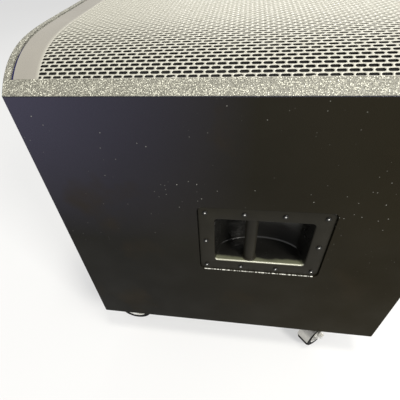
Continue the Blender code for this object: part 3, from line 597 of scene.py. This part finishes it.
def make_materials():
    handle = (0.0142, 0.0129, 0.0092)
    return {
        "cabinet": cabinet_paint(),
        "bezel": bezel_paint(),
        "grille": grille_paint(),
        "foam": foam(),
        "felt": plastic("navy_felt", (0.012, 0.012, 0.058), 0.9, 700.0, 0.0004, 0.1),
        "rebate_highlight": rebate_highlight_paint(),
        "pin": metal("bright_pin", (0.95, 0.94, 0.90), 0.30),
        "handle": plastic("handle_moulding", handle, 0.50, 900.0, 0.0002, 0.08),
        "pocket": pocket_moulding((0.0075, 0.0072, 0.0062)),
        "screw": plastic("black_screw", (0.006, 0.006, 0.006), 0.30, 900.0, 0.00005, 0.25),
        "zinc": metal("bright_zinc", (0.90, 0.89, 0.85), 0.26),
        "guard": metal("dull_zinc", (0.52, 0.51, 0.48), 0.30),
        "tyre": rubber("tyre_rubber", (0.004, 0.004, 0.004), 0.60, 0.006, 0.04),
        "foot": rubber("foot_rubber", (0.014, 0.014, 0.014)),
        "cast": metal("cast_aluminium", (0.50, 0.50, 0.51), 0.50),
        "ferrite": plastic("ferrite", (0.050, 0.050, 0.055), 0.65, 500.0, 0.0003),
        "steel": metal("plated_steel", (0.55, 0.55, 0.54), 0.34, (1.0, 12.0, 12.0)),
        "paper": plastic("pulp_paper", (0.018, 0.018, 0.018), 0.88, 350.0, 0.0006),
        "cloth": woven("doped_cloth", (0.22, 0.16, 0.08)),
        "copper": copper_wire(),
        "anodised": metal("black_anodised", (0.045, 0.045, 0.048), 0.42, (1.0, 18.0, 1.0)),
        "circuit": plastic("solder_mask", (0.015, 0.12, 0.045), 0.40),
        "black": plastic("black_moulding", (0.020, 0.020, 0.020), 0.42),
        "lamp": plastic("lamp_lens", (0.06, 0.42, 0.10), 0.18, 300.0, 0.00005),
        "wood": plywood(),
    }


def dress_cad_nodes(looks):
    """Gives every carried-over CAD node its material."""
    wanted = {
        "cabinet": (
            "side_panel_near side_panel_far top_panel bottom_panel rear_panel baffle port_shelf"
        ),
        "wood": "brace",
        "bezel": "front_bezel",
        "grille": "front_grille",
        "foam": "grille_foam",
        "handle": "handle_cup_near handle_cup_far handle_bar_near handle_bar_far pole_socket",
        "foot": "rubber_foot_near_rear rubber_foot_near_front rubber_foot_far_rear"
        " rubber_foot_far_front",
        "cast": "woofer_basket",
        "ferrite": "woofer_magnet",
        "steel": "woofer_top_plate woofer_pole_piece amp_chassis",
        "paper": "woofer_cone woofer_dust_cap",
        "cloth": "woofer_surround woofer_spider",
        "copper": "voice_coil transformer",
        "anodised": "amp_panel amp_heatsink",
        "circuit": "circuit_board",
        "black": "capacitor_a capacitor_b gain_knob power_rocker power_switch_frame mains_inlet"
        " input_socket output_socket mode_switch",
        "lamp": "status_led",
        "zinc": " ".join(
            f"caster_{kind}_{spot}" for kind in ("plate", "fork", "axle") for spot in CASTERS
        ),
        "tyre": " ".join(f"caster_wheel_{spot}" for spot in CASTERS),
    }
    for look, names in wanted.items():
        for name in names.split():
            frame["nodes"][name].material_slots[0].material = looks[look]


# Arched front


def arch_height(y):
    return BEZEL_LOW.z + ARCH_LIP + ARCH_RISE * (1 - np.abs(np.asarray(y) / Y_HALF) ** ARCH_POWER)


class ArchLine:
    """The arch's cross-section, walked by its arc length from the near edge."""

    def __init__(self, half_width):
        self.y = np.linspace(-half_width, half_width, 4000)
        self.z = arch_height(self.y)
        lengths = np.hypot(np.diff(self.y), np.diff(self.z))
        self.s = np.concatenate([[0.0], np.cumsum(lengths)])
        self.length = self.s[-1]

    def at(self, s):
        return np.interp(s, self.s, self.y), np.interp(s, self.s, self.z)

    def where(self, y):
        return float(np.interp(y, self.y, self.s))


def grille_columns(row, start, end):
    """Centres and half lengths of one row's slots, clipped to the slotted field."""
    half = SLOT_LENGTH / 2
    offset = 0.0 if row % 2 else SLOT_PITCH / 2
    centre = start + half - 0.0002 + offset - SLOT_PITCH
    slots = []
    while centre - half < end:
        low, high = max(centre - half, start), min(centre + half, end)
        if high - low > SHORTEST_SLOT:
            slots.append((low, high))
        centre += SLOT_PITCH
    return slots


def slot_outline(low, high, s, half_width):
    """Eight points round one slot, anticlockwise in (x, s)."""
    r = min(half_width * 0.75, (high - low) / 3)
    e = half_width * 0.4
    return [
        (low, s - e), (low + r, s - half_width), (high - r, s - half_width), (high, s - e),
        (high, s + e), (high - r, s + half_width), (low + r, s + half_width), (low, s + e),
    ]


def make_grille(looks):
    """Steel sheet bent over the arch, with brick-pattern slots cut through it."""
    half_width = GRILLE_HIGH.y
    line = ArchLine(half_width)
    x_start, x_end = GRILLE_LOW.x, GRILLE_HIGH.x
    field_start, field_end = X_LOW + PLAIN_STRIP, X_HIGH - PLAIN_STRIP
    first = line.where(BODY_LOW.y + FIRST_ROW)
    last = line.length - first
    rows = round((last - first) / ROW_PITCH) + 1
    pitch = (last - first) / (rows - 1)
    points = []
    faces = []

    def point(x, s, drop=0.0):
        y, z = line.at(s)
        points.append((x, float(y), float(z) - drop))
        return len(points) - 1

    def border(s, xs):
        return [point(x, s) for x in xs]

    columns = [field_start]
    while columns[-1] + SLOT_PITCH / 2 < field_end - 0.001:
        columns.append(columns[-1] + SLOT_PITCH / 2)
    columns.append(field_end)
    xs = [x_start, *columns, x_end]
    borders = [border(0.0, xs)]
    borders += [border(first + pitch * (row - 0.5), xs) for row in range(rows + 1)]
    borders.append(border(line.length, xs))
    for below, above in ((borders[0], borders[1]), (borders[-2], borders[-1])):
        for index in range(len(xs) - 1):
            faces.append((below[index], below[index + 1], above[index + 1], above[index]))
    for row in range(rows):
        below, above = borders[row + 1], borders[row + 2]
        s = first + pitch * row
        faces.append((below[0], below[1], above[1], above[0]))
        faces.append((below[-2], below[-1], above[-1], above[-2]))
        slots = grille_columns(row, field_start + 0.0004, field_end - 0.0004)
        fill_row(faces, xs, below, above, slots, s, point)
    flange(faces, borders, points)
    sheet = mesh_object("grille_sheet", points, faces, 30)
    face_up(sheet)
    thick = sheet.modifiers.new("thickness", "SOLIDIFY")
    thick.thickness = SHEET
    thick.offset = -1.0
    dress(sheet, looks["grille"])
    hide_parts("front_grille")
    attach(sheet, "root")


def face_up(obj):
    """Turns a sheet's faces so that most of them point up."""
    shape = bmesh.new()
    shape.from_mesh(obj.data)
    if sum(face.normal.z * face.calc_area() for face in shape.faces) < 0:
        bmesh.ops.reverse_faces(shape, faces=shape.faces)
    shape.to_mesh(obj.data)
    shape.free()


def fill_row(faces, xs, below, above, slots, s, point):
    """Faces of one row between its lower and upper borders, leaving its slots open."""
    inner = xs[1:-1]
    for (low, high), (first, last) in zip(slots, slot_bounds(inner, slots)):
        ring = [point(*at) for at in slot_outline(low, high, s, SLOT_WIDTH / 2)]
        under = [below[index + 1] for index in range(first, last + 1)]
        over = [above[index + 1] for index in range(first, last + 1)]
        side_faces(faces, under, ring[:4])
        side_faces(faces, over, ring[:3:-1])
        faces.append((under[0], ring[0], ring[7], over[0]))
        faces.append((under[-1], over[-1], ring[4], ring[3]))


def slot_bounds(inner, slots):
    """Border columns that each slot's cell reaches, so that the cells tile the row."""
    bounds = []
    start = 0
    for index, (_, high) in enumerate(slots):
        if index + 1 < len(slots):
            middle = (high + slots[index + 1][0]) / 2
            end = min(range(len(inner)), key=lambda i: abs(inner[i] - middle))
        else:
            end = len(inner) - 1
        bounds.append((start, end))
        start = end
    return bounds


def side_faces(faces, border, ring):
    """Fan between a border and the four slot points that face it."""
    a, b, c, d = ring
    half = len(border) // 2
    faces.append((border[0], b, a))
    for index in range(half):
        faces.append((border[index], border[index + 1], b))
    faces.append((border[half], c, b))
    for index in range(half, len(border) - 1):
        faces.append((border[index], border[index + 1], c))
    faces.append((border[-1], d, c))


def flange(faces, borders, points):
    """Turns the sheet down at both ends."""
    for column in (0, -1):
        edge = [border[column] for border in borders]
        lower = []
        for index in edge:
            x, y, z = points[index]
            points.append((x, y, z - FLANGE_DROP))
            lower.append(len(points) - 1)
        for index in range(len(edge) - 1):
            faces.append((edge[index], edge[index + 1], lower[index + 1], lower[index]))


def arch_block(name, x_low, x_high, half_width, drop, base, rounding=0.0):
    """A block under the arch, or over it if its base is higher, rounded at its two ends."""
    turns = [math.pi * (step / ARCH_STEPS - 0.5) for step in range(ARCH_STEPS + 1)]
    stations = [half_width * math.sin(turn) for turn in turns]
    ends = quarter_turn(5) if rounding else [(0.0, 1.0)]
    rings = []
    for end, inward in ((x_low, 1), (x_high, -1)):
        for cosine, sine in ends[::inward]:
            inset = rounding * (1 - sine)
            x = end + inward * rounding * (1 - cosine)
            narrow = 1 - inset / half_width
            ring = [(x, side * half_width * narrow, base) for side in (1, -1)]
            for y in stations:
                height = float(arch_height(y)) - drop - inset
                if rounding:
                    height = max(height, base + ARCH_LIP - min(inset, ARCH_LIP / 2))
                ring.append((x, y * narrow, height))
            rings.append(ring)
    points = [point for ring in rings for point in ring]
    return mesh_object(name, points, ring_faces(len(rings), len(rings[0])), 30)


def box_object(name, low, high):
    corners = [(low[0], low[1]), (high[0], low[1]), (high[0], high[1]), (low[0], high[1])]
    points = [(x, y, z) for z in (low[2], high[2]) for x, y in corners]
    return mesh_object(name, points, ring_faces(2, 4))


def make_bezel(looks):
    """Moulded frame round the grille, with pebbled paint and rounded ends."""
    bezel = arch_block("bezel_moulding", X_LOW, X_HIGH, Y_HALF, 0.0, BEZEL_LOW.z, BEZEL_ROUNDING)
    inner = GRILLE_HIGH.y + GAP
    lid = BEZEL_HIGH.z + 0.03
    cut(bezel, arch_block("seat", X_LOW + BEZEL_END, X_HIGH - BEZEL_END, inner, SEAT_DEPTH, lid))
    depth = FLANGE_DROP + GASKET_THICK
    for start in (X_LOW + BEZEL_END, X_HIGH - BEZEL_END - BEZEL_LEDGE - 0.002):
        end = start + BEZEL_LEDGE + 0.002
        cut(bezel, arch_block("channel", start, end, inner + 0.0005, depth, lid))
    edge = BEZEL_END + BEZEL_LEDGE
    low = (X_LOW + edge, BEZEL_LEDGE - inner, Z_EDGE - 0.02)
    high = (X_HIGH - edge, inner - BEZEL_LEDGE, lid)
    cut(bezel, box_object("window", low, high))
    shade(bezel.data, 30)
    dress(bezel, looks["bezel"])
    bezel.data.materials.append(looks["foam"])
    for face in bezel.data.polygons:
        x, y, z = face.center
        sunk = float(arch_height(y)) - z > SHEET
        inside = abs(y) < inner and X_LOW + BEZEL_END < x < X_HIGH - BEZEL_END
        face.material_index = int(sunk and inside and face.normal.z > 0.3)
    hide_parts("front_bezel")
    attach(bezel, "root")


def make_gaskets(looks):
    """Felt strips in the channels at both ends of the grille."""
    half_width = GRILLE_HIGH.y - 0.001
    stations = [half_width * math.sin(math.pi * (step / 64 - 0.5)) for step in range(65)]
    low_end = (X_LOW + BEZEL_END + GAP, GRILLE_LOW.x - GAP)
    high_end = (GRILLE_HIGH.x + GAP, X_HIGH - BEZEL_END - GAP)
    for name, (start, end) in (("low", low_end), ("high", high_end)):
        points = []
        for y in stations:
            top = float(arch_height(y)) - GASKET_DROP
            points += [(start, y, top - GASKET_THICK), (end, y, top - GASKET_THICK)]
            points.append((end, y, top - 0.0005))
            points.append(((start + end) / 2, y, top))
            points.append((start, y, top - 0.0005))
        strip = mesh_object(f"gasket_{name}", points, ring_faces(len(stations), 5), 60)
        dress(strip, looks["felt"])
        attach(strip, "root")


# Handles


def scoop_depth(x):
    """Depth of the scoop's floor at a distance from its middle: an arc between straight sides."""
    across = min(abs(x) / (POCKET[0] / 2), 1.0)
    return POCKET_STRAIGHT + (HANDLE_DEPTH - POCKET_STRAIGHT) * math.sqrt(1 - across * across)


def pocket_loop(inset, draft=0.0):
    """Outline of the pocket, drawn in all round and, for the draft, at its two ends."""
    corner = max(POCKET_CORNER - inset, 0.0012)
    width, height = (length - 2 * inset for length in POCKET)
    return rounded_rectangle(width - 2 * draft, height, corner)


def handle_loops(plate_width, plate_height):
    """Loops of (x, z, depth) from the plate's back edge over its face and down to the floor."""
    loops = []
    edge = PLATE_EDGE
    for inset, depth in ((0.0, PLATE_THICK), (0.0, edge), (edge * 0.3, edge * 0.3), (edge, 0.0)):
        width, height = plate_width - 2 * inset, plate_height - 2 * inset
        loop = rounded_rectangle(width, height, PLATE_CORNER - inset)
        loops.append([(p.x, p.y, depth) for p in loop])
    for cosine, sine in quarter_turn(5):
        loop = pocket_loop(-LIP * (1 - sine))
        loops.append([(p.x, p.y, LIP * (1 - cosine)) for p in loop])
    for share in (0.25, 0.5, 0.75):
        loop = pocket_loop(SIDE_WALL_DRAFT * share, DRAFT * share)
        loops.append([(p.x, p.y, LIP + (scoop_depth(p.x) - 2 * LIP) * share) for p in loop])
    for cosine, sine in quarter_turn(4):
        loop = pocket_loop(SIDE_WALL_DRAFT + POCKET_FILLET * (1 - cosine), DRAFT)
        raised = POCKET_FILLET * (1 - sine)
        loops.append([(p.x, p.y, scoop_depth(p.x) - raised) for p in loop])
    last = pocket_loop(SIDE_WALL_DRAFT + POCKET_FILLET, DRAFT)
    for step in range(1, 12):
        share = 1 - step / 12
        loops.append([(p.x * share, p.y * share, scoop_depth(p.x * share)) for p in last])
    return loops


def make_handle(side, suffix, looks):
    """One recessed handle: plate and scoop, grip bar and screws."""
    low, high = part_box(f"handle_cup_{suffix}")
    centre = (low + high) / 2
    face = high.y if side > 0 else low.y
    loops = handle_loops(high.x - low.x, high.z - low.z)
    points = [
        (centre.x + x, face - side * depth, centre.z + z) for loop in loops for x, z, depth in loop
    ]
    faces = ring_faces(len(loops), len(loops[0]), caps=False)
    start = (len(loops) - 1) * len(loops[0])
    faces.append(tuple(range(start, start + len(loops[0]))))
    cup = mesh_object(f"handle_moulding_{suffix}", points, faces, 50)
    outward = sum(p.normal.y * p.area for p in cup.data.polygons)
    if outward * side < 0:
        cup.data.flip_normals()
    thick = cup.modifiers.new("wall", "SOLIDIFY")
    thick.thickness = CUP_WALL
    thick.offset = -1.0
    dress(cup, looks["handle"])
    cup.data.materials.append(looks["pocket"])
    for polygon in cup.data.polygons:
        at_front = abs(polygon.center.y - face) < LIP + 0.0003
        polygon.material_index = int(not at_front or polygon.normal.z > 0.3)
    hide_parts(f"handle_cup_{suffix}")
    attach(cup, "root")
    make_bar(suffix, looks)
    make_rebate_edge(side, suffix, low, high, looks)
    make_handle_screws(side, suffix, centre, face, looks)


def make_rebate_edge(side, suffix, low, high, looks):
    """Painted highlight along the lower wall of the rebate that the handle's plate sits in."""
    half = (high.x - low.x) / 2 - 0.003
    centre = (low.x + high.x) / 2
    wall = low.z - PLATE_MARGIN
    faces_y = sorted((side * (Y_HALF - 0.0001), side * (Y_HALF - REBATE_HIGHLIGHT_DEPTH)))
    edge = box_object(
        f"rebate_edge_{suffix}",
        (centre - half, faces_y[0], wall + 0.00005),
        (centre + half, faces_y[1], wall + 0.00030),
    )
    bevelled(edge, 0.0001, 1)
    dress(edge, looks["rebate_highlight"])
    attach(edge, "root")


def make_bar(suffix, looks):
    """Grip bar that flares a little where it meets the scoop's end walls."""
    low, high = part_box(f"handle_bar_{suffix}")
    centre = (low + high) / 2
    radius = (high.x - low.x) / 2
    half = (high.z - low.z) / 2
    profile = [(0.0, -half), (radius + BAR_FLARE, -half)]
    for cosine, sine in quarter_turn(5, 1):
        profile.append((radius + BAR_FLARE * (1 - sine), -half + BAR_FLARE * (1 - cosine)))
    profile += [(r, -h) for r, h in profile[:0:-1]] + [(0.0, half)]
    bar = turned(f"grip_bar_{suffix}", profile, 48, 50)
    bar.data.transform(Matrix.Translation(centre))
    dress(bar, looks["handle"])
    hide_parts(f"handle_bar_{suffix}")
    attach(bar, "root")


def screw_object(name, head_radius, head_height, shank_radius, shank_length):
    """Socket-head screw, its seat at z=0, with a bright security pin in the socket."""
    socket, pin = head_radius * 0.52, head_radius * 0.46
    floor = head_height * 0.40
    profile = [(0.0, -shank_length), (shank_radius, -shank_length), (shank_radius, 0.0)]
    profile += [(head_radius, 0.0), (head_radius, head_height * 0.35)]
    for cosine, sine in quarter_turn(4, 1):
        radius = socket + (head_radius - socket) * cosine
        profile.append((radius, head_height * (0.35 + 0.60 * sine)))
    profile.append((socket, floor))
    for cosine, sine in quarter_turn(6):
        profile.append((pin * cosine, floor + head_height * 0.60 * sine))
    screw = turned(name, profile, 24, 60)
    screw.data.materials.append(None)
    screw.data.materials.append(None)
    for face in screw.data.polygons:
        reach = math.hypot(face.center.x, face.center.y)
        face.material_index = int(reach < pin and face.center.z > floor)
    shade(screw.data, 60)
    return screw


def dress_screws(obj, head, pin):
    """Gives the heads one material and the pins in their sockets another."""
    second = [face.material_index for face in obj.data.polygons]
    obj.data.materials.clear()
    obj.data.materials.append(head)
    obj.data.materials.append(pin)
    obj.data.polygons.foreach_set("material_index", second)


def make_handle_screws(side, suffix, centre, face, looks):
    spots = [(x, z) for z in HANDLE_SCREW_ROWS for x in HANDLE_SCREW_COLUMNS]
    spots += [(HANDLE_SCREW_COLUMNS[0], 0.0), (HANDLE_SCREW_COLUMNS[-1], 0.0)]
    outward = Matrix.Rotation(math.radians(90 if side < 0 else -90), 4, "X")
    matrices = []
    for index, (x, z) in enumerate(spots):
        place = Matrix.Translation((centre.x + x, face + side * GAP, centre.z + z))
        spin = Matrix.Rotation(0.7 * index, 4, "Z")
        matrices.append(place @ outward @ spin)
    screw = screw_object("handle_screw", *HANDLE_SCREW)
    group = copies(f"handle_screws_{suffix}", screw, matrices)
    dress_screws(group, looks["screw"], looks["pin"])
    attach(group, "root")


# Casters


def make_wheels(looks):
    """A tyre with a rounded tread on a webbed hub, for each caster."""
    for spot in CASTERS:
        node = f"caster_wheel_{spot}"
        joint = next(j for j in frame["joints"] if j["name"] == f"roll_{spot}")
        centre = Vector(joint["pos_m"])
        axle = Vector(joint["axis"])
        turn = axle.to_track_quat("Z", "Y").to_matrix().to_4x4()
        place = Matrix.Translation(centre) @ turn
        low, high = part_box(node)
        radius = (high.z - low.z) / 2
        half, rim = TYRE_HALF_WIDTH, WHEEL_RIM
        tread = [(rim, half - 0.001), (radius - TREAD_RADIUS, half)]
        for cosine, sine in quarter_turn(6, 1):
            across = half - TREAD_RADIUS * (1 - cosine)
            tread.append((radius - TREAD_RADIUS * (1 - sine), across))
        profile = tread + [(r, -h) for r, h in tread[::-1]]
        tyre = turned(f"caster_tyre_{spot}", profile, 64)
        web = [
            (0.0046, half), (0.0105, half), (0.0118, half - 0.0012), (0.0124, half - 0.008),
            (0.0240, half - 0.008), (0.0255, half - 0.0015), (rim - 0.0002, half - 0.001),
        ]
        hub = turned(f"caster_hub_{spot}", web + [(r, -h) for r, h in web[::-1]], 64)
        for piece, look in ((tyre, "tyre"), (hub, "zinc")):
            piece.data.transform(place)
            dress(piece, looks[look])
            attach(piece, f"wheel_{spot}")
        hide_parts(node)
        make_tread_guard(spot, place, radius, looks)
        for kind in ("fork", "plate", "axle"):
            bevelled(frame["nodes"][f"caster_{kind}_{spot}"], 0.0005)


def make_tread_guard(spot, axle, radius, looks):
    """Sheet metal guard that curves over the tread between the fork's legs."""
    swivel = next(j for j in frame["joints"] if j["name"] == f"swivel_{spot}")
    centre = axle.translation
    ahead = Vector((centre.x - swivel["pos_m"][0], centre.y - swivel["pos_m"][1], 0)).normalized()
    across = Vector((-ahead.y, ahead.x, 0))
    up = Vector((0, 0, 1))
    inner, outer = GUARD_REACH
    first, last = GUARD_ANGLES
    points = []
    for step in range(GUARD_STEPS + 1):
        turn = math.radians(first + (last - first) * step / GUARD_STEPS)
        out = ahead * math.cos(turn) + up * math.sin(turn)
        for reach, side in ((inner, -1), (inner, 1), (outer, 1), (outer, -1)):
            points.append(centre + out * (radius + reach) + across * side * GUARD_HALF_WIDTH)
    guard = mesh_object(f"tread_guard_{spot}", points, ring_faces(GUARD_STEPS + 1, 4))
    dress(guard, looks["guard"])
    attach(guard, f"fork_{spot}")


def bolt_circle(count, radius):
    turns = [2 * math.pi * (index + 0.5) / count for index in range(count)]
    return [(radius * math.cos(turn), radius * math.sin(turn)) for turn in turns]


def make_fasteners(looks):
    """Caster bolts, amplifier screws, pole socket screws and woofer screws."""
    place = Matrix.Translation
    down = Matrix.Rotation(math.pi, 4, "X")
    bolts = []
    for spot in CASTERS:
        low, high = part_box(f"caster_plate_{spot}")
        centre = (low + high) / 2
        z = high.z - CASTER_PLATE_THICK - GAP
        bolts += [place((centre.x + x, centre.y + y, z)) @ down for x, y in CASTER_BOLT_PLACES]
    add_fasteners("caster_bolts", CASTER_BOLT, bolts, "zinc", looks)
    low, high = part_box("amp_panel")
    centre = (low + high) / 2
    half_x = (high.x - low.x) / 2 - AMP_SCREW_INSET
    half_y = (high.y - low.y) / 2 - AMP_SCREW_INSET
    spots = [(x, y) for x in (-half_x, half_x) for y in (-half_y, 0.0, half_y)]
    spots += [(0.0, -half_y), (0.0, half_y)]
    amp = [place((centre.x + x, centre.y + y, low.z - GAP)) @ down for x, y in spots]
    add_fasteners("amp_screws", AMP_SCREW, amp, "screw", looks)
    low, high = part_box("pole_socket")
    centre = (low + high) / 2
    sideways = Matrix.Rotation(math.radians(90), 4, "Y")
    spots = bolt_circle(4, POLE_SCREW_CIRCLE)
    pole = [place((high.x + GAP, centre.y + y, centre.z + z)) @ sideways for z, y in spots]
    add_fasteners("pole_socket_screws", POLE_SCREW, pole, "screw", looks)
    low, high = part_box("woofer_basket")
    centre = (low + high) / 2
    spots = bolt_circle(8, WOOFER_SCREW_CIRCLE)
    woofer = [place((centre.x + x, y, high.z + GAP)) for x, y in spots]
    add_fasteners("woofer_screws", WOOFER_SCREW, woofer, "screw", looks)


def add_fasteners(name, sizes, matrices, look, looks):
    group = copies(name, screw_object("screw", *sizes), matrices)
    dress_screws(group, looks[look], looks["zinc" if look == "zinc" else "pin"])
    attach(group, "root")


# Woofer surround


def surround_outline(outer_rim, base):
    """Flat rims with a half-round roll between them, as (radius, height)."""
    inner, outer = SURROUND_ROLL
    middle, radius = (inner + outer) / 2, (outer - inner) / 2
    upper = [(SURROUND_RIM, base + SURROUND_SHEET)]
    lower = [(SURROUND_RIM, base)]
    for step in range(ROLL_STEPS + 1):
        turn = math.pi * step / ROLL_STEPS
        across, rise = math.cos(turn), math.sin(turn)
        upper.append((middle - radius * across, base + SURROUND_SHEET + radius * rise))
        inside = radius - SURROUND_SHEET
        lower.append((middle - inside * across, base + inside * rise))
    return upper + [(outer_rim, base + SURROUND_SHEET), (outer_rim, base)] + lower[::-1]


def make_surround(looks):
    """Half-roll surround in sectors between the basket and the cone."""
    low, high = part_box("woofer_surround")
    centre = Vector(((low.x + high.x) / 2, (low.y + high.y) / 2, 0))
    outline = surround_outline((high.x - low.x) / 2, low.z)
    span = 2 * math.pi / SURROUND_SECTORS
    fixed = SURROUND_ROLL[1] * math.cos(span / 2)
    for sector in range(SURROUND_SECTORS):
        points = []
        for step in range(SURROUND_STEPS + 1):
            turn = span * (sector + step / SURROUND_STEPS)
            out = Vector((math.cos(turn), math.sin(turn), 0))
            for radius, height in outline:
                points.append(centre + out * radius + Vector((0, 0, height)))
        faces = ring_faces(SURROUND_STEPS + 1, len(outline))
        piece = mesh_object(f"surround_{sector + 1}", points, faces, 35)
        dress(piece, looks["cloth"])
        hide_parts("woofer_surround")
        middle = span * (sector + 0.5)
        outward = Vector((math.cos(middle), math.sin(middle), 0))
        start, end = centre + outward * fixed, centre + outward * CONE_REACH
        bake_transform(piece)
        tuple(start)
        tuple(end)


# Stage


def make_stage():
    half = FLOOR_HALF
    points = [(-half, -half, 0), (half, -half, 0), (half, half, 0), (-half, half, 0)]
    floor = mesh_object("floor", points, [(0, 1, 2, 3)])
    floor.location.z = cad_low.z
    pale = Surface("floor_pale", (0.30, 0.30, 0.30), 0.9, specular=0.0)
    tone = pale.between(pale.noise(1.5, 2.0), 0.3, 0.7)
    pale.colour(pale.mix(tone, (0.295, 0.295, 0.295), (0.305, 0.305, 0.305)))
    pale.shader.inputs["Emission Color"].default_value = (1.0, 1.0, 1.0, 1.0)
    pale.shader.inputs["Emission Strength"].default_value = FLOOR_GLOW
    dress(floor, pale.material)


def make_world():
    world = bpy.data.worlds.new("studio")
    world.use_nodes = True
    background = world.node_tree.nodes["Background"]
    background.inputs["Color"].default_value = (1.0, 1.0, 1.0, 1.0)
    background.inputs["Strength"].default_value = WORLD_STRENGTH
    bpy.context.scene.world = world
    bpy.context.scene.view_settings.view_transform = "Standard"


def area_light(name, place, target, size, power, colour):
    """A soft light of that size in metres and power in watts, turned to its target."""
    data = bpy.data.lights.new(name, "AREA")
    data.shape = "RECTANGLE"
    data.size, data.size_y = size
    data.energy = power
    data.color = colour
    light = bpy.data.objects.new(name, data)
    light.location = place
    light.visible_camera = False
    direction = Vector(target) - Vector(place)
    light.rotation_euler = direction.to_track_quat("-Z", "Y").to_euler()
    bpy.context.scene.collection.objects.link(light)


def make_lights():
    """A ceiling lamp just in front of the panel, a soft box front right and a light behind."""
    top = (X_MIDDLE, -0.1, BEZEL_HIGH.z)
    area_light("ceiling_lamp", (0.35, -0.66, 3.0), top, (0.50, 0.50), 46, (1.0, 0.98, 0.90))
    area_light("soft_box", (1.9, -1.9, 2.3), (0.05, -0.25, 0.4), (0.8, 0.8), 112, (1.0, 0.98, 0.93))
    area_light("sheen", (0.5, 2.4, 1.8), top, (2.6, 1.2), 40, (1.0, 0.98, 0.94))


def make_camera():
    data = bpy.data.cameras.new("camera")
    data.lens = CAMERA_LENS
    data.sensor_width = 36.0
    data.shift_x, data.shift_y = CAMERA_SHIFT
    camera = bpy.data.objects.new("camera", data)
    heading = Matrix.Rotation(math.radians(CAMERA_HEADING), 4, "Z")
    pitch = Matrix.Rotation(math.radians(90 - CAMERA_PITCH), 4, "X")
    roll = Matrix.Rotation(math.radians(CAMERA_ROLL), 4, "Z")
    camera.matrix_world = Matrix.Translation(CAMERA_AT) @ heading @ pitch @ roll
    bpy.context.scene.collection.objects.link(camera)
    bpy.context.scene.camera = camera


looks = make_materials()
dress_cad_nodes(looks)
make_grille(looks)
make_bezel(looks)
make_gaskets(looks)
make_handle(-1, "near", looks)
make_handle(1, "far", looks)
make_wheels(looks)
make_fasteners(looks)
make_surround(looks)
make_stage()
make_world()
make_lights()
make_camera()
